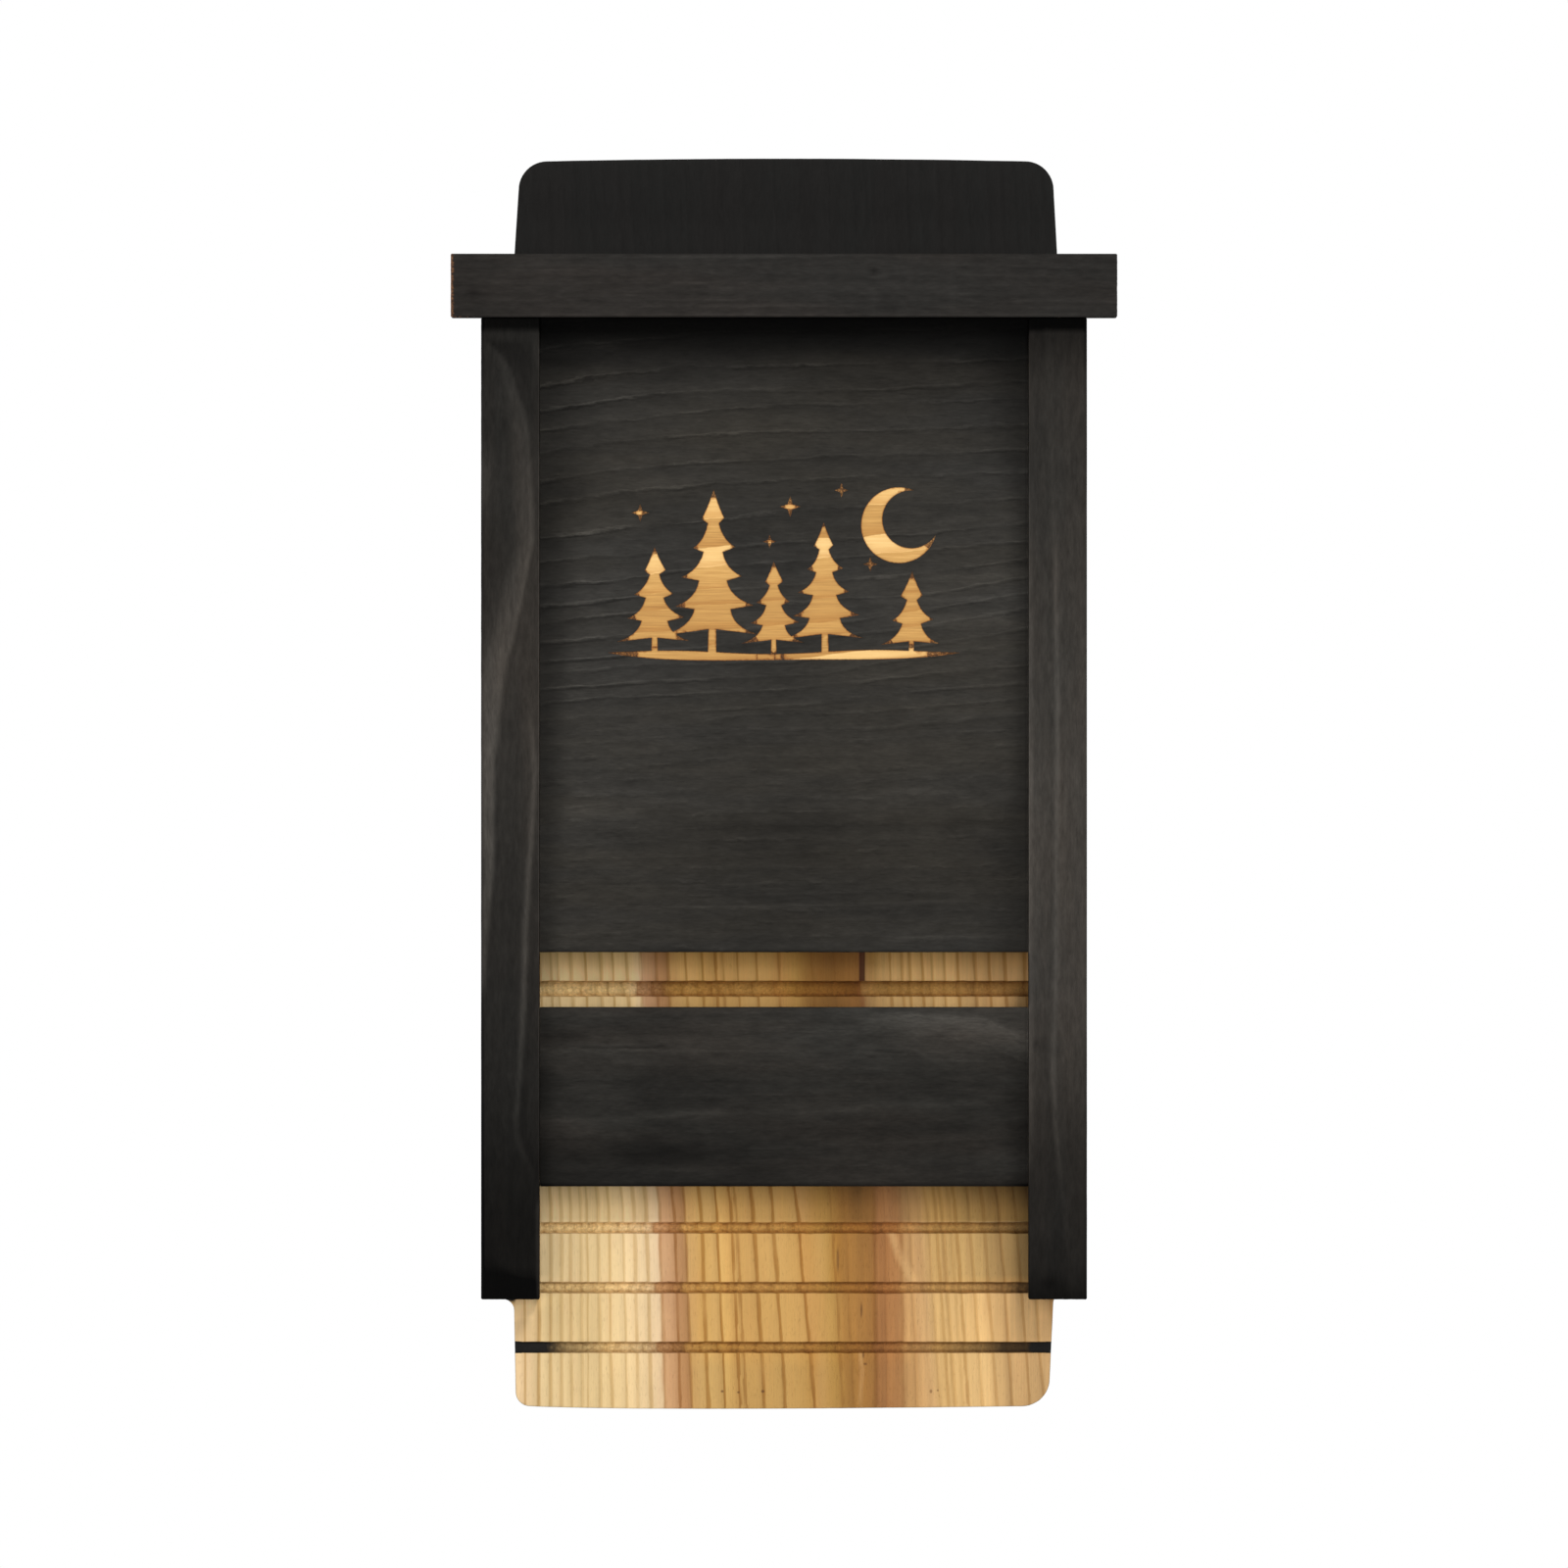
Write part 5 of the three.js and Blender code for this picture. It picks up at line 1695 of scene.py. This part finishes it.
streaks = 0.75 + 0.30 * noise(u * 0.16, v * 0.035, 0, 90) + 0.25 * noise(u * 0.4, v * 0.1, 0, 91)
# a grey water mark by the left rail, and painted shade by the right rail
smudge = 0.62 * spot(u, v, (549, 1293), 8, 18) + 0.36 * spot(u, v, (566, 1284), 15, 25)
smudge = smudge * streaks * ramp(v, 1306, 1302) + 0.22 * spot(u, v, (1046, 1280), 10, 36)
near_line = np.round(ring)
force = np.full(len(u), 0.5)
for table in (VENT_FORCE, FOOT_FORCE):
    for n_, f_ in table.items():
        force[near_line == n_] = f_
force = force * (1.0 - 0.55 * np.clip(smudge, 0, 1))
force = force * np.where((v < 1246) & (v > 1120) & (u > 830) & (u < 930), 0.35, 1.0)
streak = 0.25 + 0.75 * ramp(uref, 835, 905)
# darker heart streaks that lean across the rings, one set between each pair of grooves
flame = 0.0 * u
row_a, row_b, row_c = ramp(v, 1256, 1258) * ramp(v, 1310, 1308), ramp(v, 1317, 1319) * ramp(v, 1372, 1370), ramp(v, 1379, 1381)
flame += row_a * ramp(near(u, v, [(905, 1255), (909, 1280), (918, 1312)])[0], 1.5, -2.5) * ramp(u, 866, 874)
flame += row_b * ramp(near(u, v, [(916, 1316), (920, 1340), (928, 1374)])[0], 1.5, -2.5) * ramp(u, 874, 890) * 0.9
flame += row_c * (0.9 * stroke(u, v, [(872, 1376), (861, 1400), (857, 1442)], 5.5, 0) + 0.75 * ramp(u, 893, 896) * ramp(u, 924, 916))
flame += ramp(v, 1246, 1244) * ramp(v, 1120, 1130) * ramp(u, 866, 870) * ramp(u, 897, 893) * 0.8
pale = row_a * 0.62 * stroke(u, v, [(909, 1254), (918, 1282), (936, 1314)], 7.0, 0)
pale += row_c * 0.42 * stroke(u, v, [(878, 1378), (880, 1400), (876, 1442)], 5.0, 0)
pale += row_b * 0.5 * stroke(u, v, [(938, 1316), (944, 1372)], 5.0, 0)
head = v < 330
# painted light lifts the shade on the head's lower part by the roof, in the vent strip and just below the lower panel;
# a little darker below the vent's groove
tone = np.where(head, 0.04 + 0.45 * ramp(v, 212, 262), 0.0)
tone = tone + (0.20 + 0.06 * ramp(u, 880, 930)) * ramp(v, 960, 985) * ramp(v, 1034, 1029)
tone = tone - 0.07 * ramp(v, 1002, 1016) * ramp(v, 1034, 1029)
tone = tone + 0.12 * ramp(v, 1205, 1214) * ramp(v, 1252, 1226)
# how much darker and more golden each strip between the grooves is than the rest: mostly painted shade with a warm
# cast, under the panels, in the vent and by the right rail, mixed with the rings' own colour
row_v = (v > 950) & (v < 1001)
row_w = (v > 1016) & (v < 1120)
row_t = ramp(v, 1248, 1246) * ramp(v, 1120, 1130)
amber = 0.15 + row_c * np.interp(
    u, [530, 600, 640, 700, 760, 800, 850, 890, 930, 950, 1000], [0.15, 0.2, 0.4, 0.65, 1.0, 1.15, 1.35, 1.0, 0.85, 0.3, 0]
)
amber = amber + row_a * np.interp(
    u, [600, 690, 730, 800, 850, 885, 925, 960, 990, 1045], [0, 0.2, 0.4, 0.5, 0.9, 0.8, 0.3, 0.8, 1.1, 1.7]
)
amber = amber + row_b * np.interp(
    u, [540, 570, 630, 700, 800, 840, 885, 925, 970, 1010], [0.5, 0.45, 0.15, 0.4, 0.75, 0.0, 0.6, 0.4, 0.1, -0.1]
)
amber = amber + row_t * np.interp(
    u, [560, 640, 730, 850, 900, 950, 1000, 1045], [-0.1, 0.2, 0.2, 0.7, 0.4, 1.3, 1.9, 2.6]
)
amber = amber + row_v * (np.interp(v, [972, 980, 988, 996], [1.0, 0.7, 0.1, -0.3]) + 0.6 * spot(u, v, (889, 985), 9, 30))
amber = amber + (row_v + row_w) * (0.9 * spot(u, v, (850, 1000), 22, 90) + 0.9 * spot(u, v, (888, 1000), 10, 90))
dim = 0.0 * u + 0.05 * row_c * np.interp(u, [760, 800, 850], [0, 1, 0]) - 0.09 * row_c * spot(u, v, (885, 1410), 20, 60)
dim = dim + row_c * (0.06 * spot(u, v, (640, 1425), 40, 25) + 0.13 * ramp(u, 1040, 1052))
dim = dim - 0.04 * row_a * (spot(u, v, (640, 1285), 35, 40) + spot(u, v, (725, 1285), 25, 40))
dim = dim + row_a * np.interp(u, [940, 960, 1010, 1045], [0, 0.11, 0.09, 0.06]) + 0.06 * row_a * spot(u, v, (885, 1270), 18, 30)
dim = dim + row_b * (0.06 * spot(u, v, (568, 1345), 25, 22) + 0.04 * spot(u, v, (800, 1350), 35, 20) - 0.08 * ramp(u, 985, 1040))
# the spot at the left rail's end is painted light that lifts the shade under it
dim = dim - 0.12 * row_b * ramp(u, 1040, 1052) - 0.26 * spot(u, v, (540, 1328), 18, 9)
dim = dim - 0.25 * ramp(u, 547, 543) * ramp(v, 1327, 1330) * ramp(v, 1352, 1346)
# painted shadow of the lower panel on the strip just below it, deepest on the right
dim = dim + row_t * (
    np.interp(v, [1206, 1214, 1228, 1240, 1246], [0.20, 0.12, 0.0, -0.18, -0.24])
    + np.interp(u, [560, 600, 700, 830, 885, 900, 950, 1000, 1045], [-0.15, 0.0, 0.0, 0.18, 0.22, 0.15, 0.24, 0.34, 0.38])
    + 0.22 * bell(u - 873, 8) - 0.20 * bell(u - 901, 6) + 0.10 * ramp(u, 1024, 1036) + 0.10 * ramp(u, 1038, 1046)
)
dim = dim - 0.10 * row_c * bell(u - 905, 10) - 0.12 * row_b * bell(u - 927, 6) - 0.07 * (row_a + row_b) * bell(u - 864, 9)
dim = dim - 0.12 * row_a * bell(u - 984, 10) - 0.12 * row_a * bell(u - 1034, 6) + 0.10 * row_a * ramp(u, 1042, 1048)
dim = dim + 0.09 * row_a * bell(u - 564, 8) + 0.06 * (row_b + row_c) * bell(u - 566, 7) - 0.07 * row_a * bell(u - 601, 6)
dim = dim + 0.07 * row_c * bell(u - 962, 7) + 0.08 * row_c * bell(u - 1034, 7) - 0.07 * row_c * bell(u - 1010, 7)
dim = dim + 0.04 * row_c * bell(u - 686, 7) - 0.07 * (row_a + row_b) * bell(u - 673, 4) - 0.07 * row_a * bell(u - 743, 5)
dim = dim + 0.06 * row_a * bell(u - 940, 9) + 0.06 * row_c * bell(u - 936, 6) - 0.06 * row_c * bell(u - 722, 6)
dim = dim + row_t * (0.06 * bell(u - 656, 9) + 0.10 * bell(u - 924, 7) + 0.07 * bell(u - 990, 9))
dim = dim + row_a * (0.07 * bell(u - 879, 6) - 0.05 * bell(u - 851, 5))
amber = amber + 0.5 * row_t * bell(u - 656, 9) + 0.7 * row_c * bell(u - 830, 7)
amber = amber - 1.2 * row_t * bell(u - 818, 9) - 1.0 * row_t * bell(u - 908, 16) + 0.7 * (row_a + row_b) * bell(u - 718, 8)
amber = amber - 1.1 * (row_a + row_c) * bell(u - 838, 9) + 0.9 * row_a * bell(u - 854, 6)
# painted light that lifts the shade under the right rail's end
dim = dim - 0.12 * ramp(u, 1050, 1053) * ramp(v, 1324, 1326) * ramp(v, 1350, 1344)
# painted shade in the vent, darkest by the upper panel's edge
dim = dim + row_v * (np.interp(v, [974, 984, 992, 1000], [0.08, 0.02, -0.12, -0.26]) + np.interp(u, [560, 600, 660], [-0.12, -0.04, 0.0]))
dim = dim + row_v * (0.24 * spot(u, v, (850, 985), 22, 30) + 0.30 * spot(u, v, (889, 985), 9, 30) + 0.14 * spot(u, v, (646, 988), 9, 30))
dim = dim + row_v * (0.10 * ramp(u, 985, 1030) * ramp(v, 980, 990) + 0.05 * ramp(u, 900, 960) * ramp(v, 982, 992))
dim = dim + row_w * (
    np.interp(u, [560, 660, 720, 820, 930, 1000, 1030], [0.08, 0.08, 0.15, 0.16, 0.17, 0.18, 0.05])
    + 0.18 * spot(u, v, (850, 1024), 22, 30) + 0.18 * spot(u, v, (888, 1024), 10, 30)
)
# groove floors, groove by groove: lighter where the panels' shade falls on them, which is painted light, and darker
# towards the rails, which is painted shade mixed with creeping stain
in_f = ramp(depth, 0.5, 1.8)
dim = dim + in_f * (gi == VENT_GROOVE) * np.interp(u, [600, 625, 690, 715, 775, 800, 845, 870, 1000], [-0.24, -0.10, 0.14, 0.04, 0.10, -0.06, -0.04, 0.19, 0.22])
amber = amber + in_f * (gi == VENT_GROOVE) * np.interp(u, [675, 690, 712, 780, 850, 865], [0, 1.3, 0.7, 0.5, 0.5, 1.2]) - 0.5 * in_f * (gi == 2) * ramp(u, 720, 700)
amber = amber + 0.7 * in_f * (gi == 0) * ramp(u, 700, 715) * ramp(u, 870, 850) + 0.9 * in_f * (gi == 2) * ramp(u, 930, 990)
amber = amber - 0.5 * in_f * (gi == VENT_GROOVE) - 0.8 * in_f * ramp(u, 700, 660)
dim = dim + in_f * (gi == 0) * np.interp(u, [620, 760, 845, 865, 925, 940, 985, 1000], [0.10, 0.12, 0.20, 0.04, 0.06, 0.26, 0.28, 0.32])
dim = dim + in_f * (gi == 0) * np.interp(u, [550, 560, 570, 580, 600, 618, 626, 634, 645], [0.58, 0.58, 0.48, 0.34, 0.24, 0.05, -0.14, -0.14, 0])
dim = dim + in_f * (gi == 0) * np.interp(u, [955, 980, 1000, 1012, 1025, 1045], [0, 0.20, 0.30, 0.38, 0.56, 0.62])
dim = dim + in_f * (gi == 1) * np.interp(u, [610, 630, 760, 845, 865, 925, 940, 985, 1000], [0.0, -0.12, -0.02, 0.07, -0.12, -0.10, 0.17, 0.18, 0.24])
dim = dim + in_f * (gi == 2) * np.interp(u, [600, 700, 760, 850, 865, 925, 945, 1000], [-0.32, -0.30, -0.14, -0.16, -0.30, -0.28, 0.02, 0.05])
tone = tone - 0.13 * ramp(v, 1376, 1400) * ramp(u, 700, 716) * ramp(u, 940, 920)
# painted shade beside the right rail, above the rails' ends
tone = tone - (0.12 * ramp(u, 940, 1000) + 0.16 * ramp(u, 990, 1040)) * ramp(v, 1312, 1300) * (v > 1120)
tone = tone + 0.10 * ramp(u, 975, 990) * ramp(u, 1040, 1015) * ramp(v, 1314, 1320) * ramp(v, 1374, 1370)
amp = np.where(p[:, 1] > -1.5, 0.70, np.where(head, 0.22, 0.30))
edge_y = np.abs(p[:, 1] + BOARD_T)
paint(
    ob, ring=ring, gap=gap, uref=uref, depth=depth, soot=np.clip(soot, 0, 1.2), smudge=smudge, amp=amp,
    tone=tone, tint=0.0 * u, broken=0.0 * u + 0.3, force=force, streak=streak, flame=flame, pale=pale,
    amber=amber, dim=np.clip(dim, -0.75, 0.88), half=half, chip=chip,
)
c, n = faces_of(ob)
front_face = (n[:, 1] < -0.35) & (c[:, 1] < -BOARD_T + 3.2) & (c[:, 2] < 242)
in_notch = (c[:, 1] < -BOARD_T + 2.9) & (np.abs(c[:, 0]) < 128) & (c[:, 2] < 242) & (c[:, 2] > -300)
natural_face = (front_face | in_notch) & ((np.abs(c[:, 0]) < 128) | (c[:, 2] < -250))
back_face = (n[:, 1] > 0.5) & (c[:, 1] > -1.5)
dress(ob, "back_board", [NATURAL, BLACK_BOARD, BLACK_BACK], np.where(natural_face, 0, np.where(back_face, 2, 1)))


# -------------------------------------------------------------------- screws
def screw_mesh(length):
    """Countersunk wood screw: cut thread, plain neck and a cross recess. Its axis
    is +Y here, with the head's face at 0 and the tip at -length."""
    sides, pitch, thread_from = 24, 2.4, -length + 0.2
    neck = -length * 0.42
    hs = [0.0, 0.0, 0.0]
    prof = [(2.6, 0.0, 0), (3.62, -0.02, 0), (3.92, -0.14, 0), (4.0, -0.32, 0), (3.92, -0.50, 0)]
    prof += [(3.1, -1.35, 0), (2.2, -2.45, 0), (1.72, -3.1, 0), (1.62, -3.6, 0), (1.62, neck + 0.6, 0)]
    hs = list(np.arange(neck, thread_from + 0.3, -pitch / 7.0))
    prof += [(1.5, h, 1) for h in hs]
    prof += [(0.0, -length, 0)]
    a = np.arange(sides) * 2 * math.pi / sides
    verts, rows_ = [], []
    centre = len(verts)
    verts.append((0, 0, 0))
    for r, h, threaded in prof[:-1]:
        taper = np.clip((h + length) / 6.5, 0.06, 1)
        if threaded:
            ph = (h / pitch - a / (2 * math.pi)) % 1.0
            crest = np.clip(1 - np.abs(ph - 0.5) / 0.26, 0, 1)
            start = np.clip((neck - h) / 2.0, 0, 1)
            rr = (1.5 + 0.72 * crest * start) * taper
        else:
            rr = np.full(sides, r)
        rows_.append(list(range(len(verts), len(verts) + sides)))
        verts.extend(zip(rr * np.sin(a), np.full(sides, h), rr * np.cos(a)))
    tip = len(verts)
    verts.append((0, -length, 0))
    faces = []
    for i in range(sides):
        faces.append([centre, rows_[0][i], rows_[0][(i + 1) % sides]])
    for lo_, hi_ in zip(rows_[:-1], rows_[1:]):
        for i in range(sides):
            j = (i + 1) % sides
            faces.append([lo_[i], hi_[i], hi_[j], lo_[j]])
    for i in range(sides):
        faces.append([rows_[-1][i], tip, rows_[-1][(i + 1) % sides]])
    return np.array(verts, float), faces


def recess():
    """Four tapered flutes around a point."""
    out = []
    for k in range(2):
        w, l, dpt = 0.55, 2.25, 1.75
        c_ = np.array([
            (-l, 0.3, -w), (l, 0.3, -w), (l, 0.3, w), (-l, 0.3, w),
            (-0.75, -dpt, -0.22), (0.75, -dpt, -0.22), (0.75, -dpt, 0.22), (-0.75, -dpt, 0.22),
        ])
        if k:
            c_ = c_[:, [2, 1, 0]]
        f = [[0, 1, 2, 3], [7, 6, 5, 4], [0, 4, 5, 1], [1, 5, 6, 2], [2, 6, 7, 3], [3, 7, 4, 0]]
        if not k:
            f = [q_[::-1] for q_ in f]
        out.append((c_, f))
    return out


screw_cache = {}
for name, (face, axis, length) in SCREW_NODES.items():
    key = round(float(length), 2)
    if key not in screw_cache:
        v_, f_ = screw_mesh(length)
        tmp = mesh_object("screw_shape", v_, [f_])
        for tool in recess():
            cut(tmp, tool)
        screw_cache[key] = tmp
    src = screw_cache[key]
    ob = bpy.data.objects.new(name + "_steel", src.data.copy())
    bpy.context.scene.collection.objects.link(ob)
    q = points_of(ob)
    ay = axis
    turn = (sum(ord(ch) * (i + 3) for i, ch in enumerate(name)) % 90) * math.pi / 180
    e1 = np.array([0.0, 0, 1]) if abs(ay[2]) < 0.5 else np.array([1.0, 0, 0])
    e2 = np.cross(ay, e1)
    f1, f2 = e1 * math.cos(turn) + e2 * math.sin(turn), -e1 * math.sin(turn) + e2 * math.cos(turn)
    # keep the frame right-handed: local (x, y, z) -> (f2 or -f2, axis, f1)
    if np.dot(np.cross(f1, f2), ay) < 0:
        f2 = -f2
    world = q[:, [0]] * f1 * -1 + q[:, [1]] * ay + q[:, [2]] * f2
    if np.dot(np.cross(-f1, ay), f2) < 0:
        world = q[:, [0]] * f1 + q[:, [1]] * ay + q[:, [2]] * f2
    r_ = np.hypot(q[:, 0], q[:, 2])
    worn_ = bell(r_ - 3.9, 0.35) * (q[:, 1] > -0.6) * 0.8 + (q[:, 1] < -0.15) * (q[:, 1] > -1.9) * (r_ < 2.4) * 0.9
    ob.data.vertices.foreach_set("co", ((world + face) / 1000.0).ravel())
    ob.data.update()
    paint(ob, worn=worn_)
    dress(ob, name, [STEEL], angle=30)
for tmp in screw_cache.values():
    me = tmp.data
    bpy.data.objects.remove(tmp)
    bpy.data.meshes.remove(me)

# ------------------------------------------------------------- stage, lights
world = bpy.data.worlds.new("studio")
bpy.context.scene.world = world
world.use_nodes = True
wt = world.node_tree
wt.nodes.clear()
wo = wt.nodes.new("ShaderNodeOutputWorld")
light_path = wt.nodes.new("ShaderNodeLightPath")
bg_soft = wt.nodes.new("ShaderNodeBackground")
bg_soft.inputs[0].default_value = (1, 1, 1, 1)
bg_soft.inputs[1].default_value = 0.20
bg_white = wt.nodes.new("ShaderNodeBackground")
bg_white.inputs[0].default_value = (1, 1, 1, 1)
bg_white.inputs[1].default_value = 1.0
mixer = wt.nodes.new("ShaderNodeMixShader")
wt.links.new(light_path.outputs["Is Camera Ray"], mixer.inputs[0])
wt.links.new(bg_soft.outputs[0], mixer.inputs[1])
wt.links.new(bg_white.outputs[0], mixer.inputs[2])
wt.links.new(mixer.outputs[0], wo.inputs[0])

fm = bpy.data.materials.new("pale_floor")
fm.use_nodes = True
fm.node_tree.nodes["Principled BSDF"].inputs["Base Color"].default_value = (0.86, 0.86, 0.85, 1)
fm.node_tree.nodes["Principled BSDF"].inputs["Roughness"].default_value = 0.9
fa = np.arange(96) * 2 * math.pi / 96
floor_v = np.stack([4000 * np.cos(fa), 4000 * np.sin(fa), np.full(96, -462.0)], 1)
floor_ob = mesh_object("floor", floor_v, [[list(range(96))]])
floor_ob.data.materials.append(fm)


def area(name, at, size, power, aim=(0, -0.05, 0), size_y=None):
    li = bpy.data.lights.new(name, "AREA")
    li.energy = power
    li.size = size
    if size_y:
        li.shape = "RECTANGLE"
        li.size_y = size_y
    lo_ = bpy.data.objects.new(name, li)
    bpy.context.scene.collection.objects.link(lo_)
    lo_.location = at
    lo_.rotation_euler = (Vector(aim) - Vector(at)).to_track_quat("-Z", "Y").to_euler()
    return lo_


area("key", (1.15, -6.0, 2.55), 0.95, 172.0)
area("front_soft", (-0.1, -3.0, 0.1), 1.5, 25.0, size_y=1.0)
area("side_left", (-3.0, -0.4, 0.9), 1.4, 22.0)
area("side_right", (3.0, -0.4, 0.9), 1.4, 22.0)
area("behind", (0.5, 3.2, 1.2), 1.6, 36.0)
area("top", (0.0, -0.2, 3.2), 1.4, 18.0)

cam = bpy.data.cameras.new("camera")
cam.sensor_width = 36.0
cam.lens = 36.0 * (24.0 - 0.03) / (1600 * S / 1000.0)
cam.clip_start, cam.clip_end = 1.0, 60.0
cam_ob = bpy.data.objects.new("camera", cam)
bpy.context.scene.collection.objects.link(cam_ob)
cam_ob.location = (0, -24.0, 0)
cam_ob.rotation_euler = (math.radians(90), 0, 0)
bpy.context.scene.camera = cam_ob
bpy.context.scene.view_settings.view_transform = "Standard"
bpy.context.scene.view_settings.look = "None"
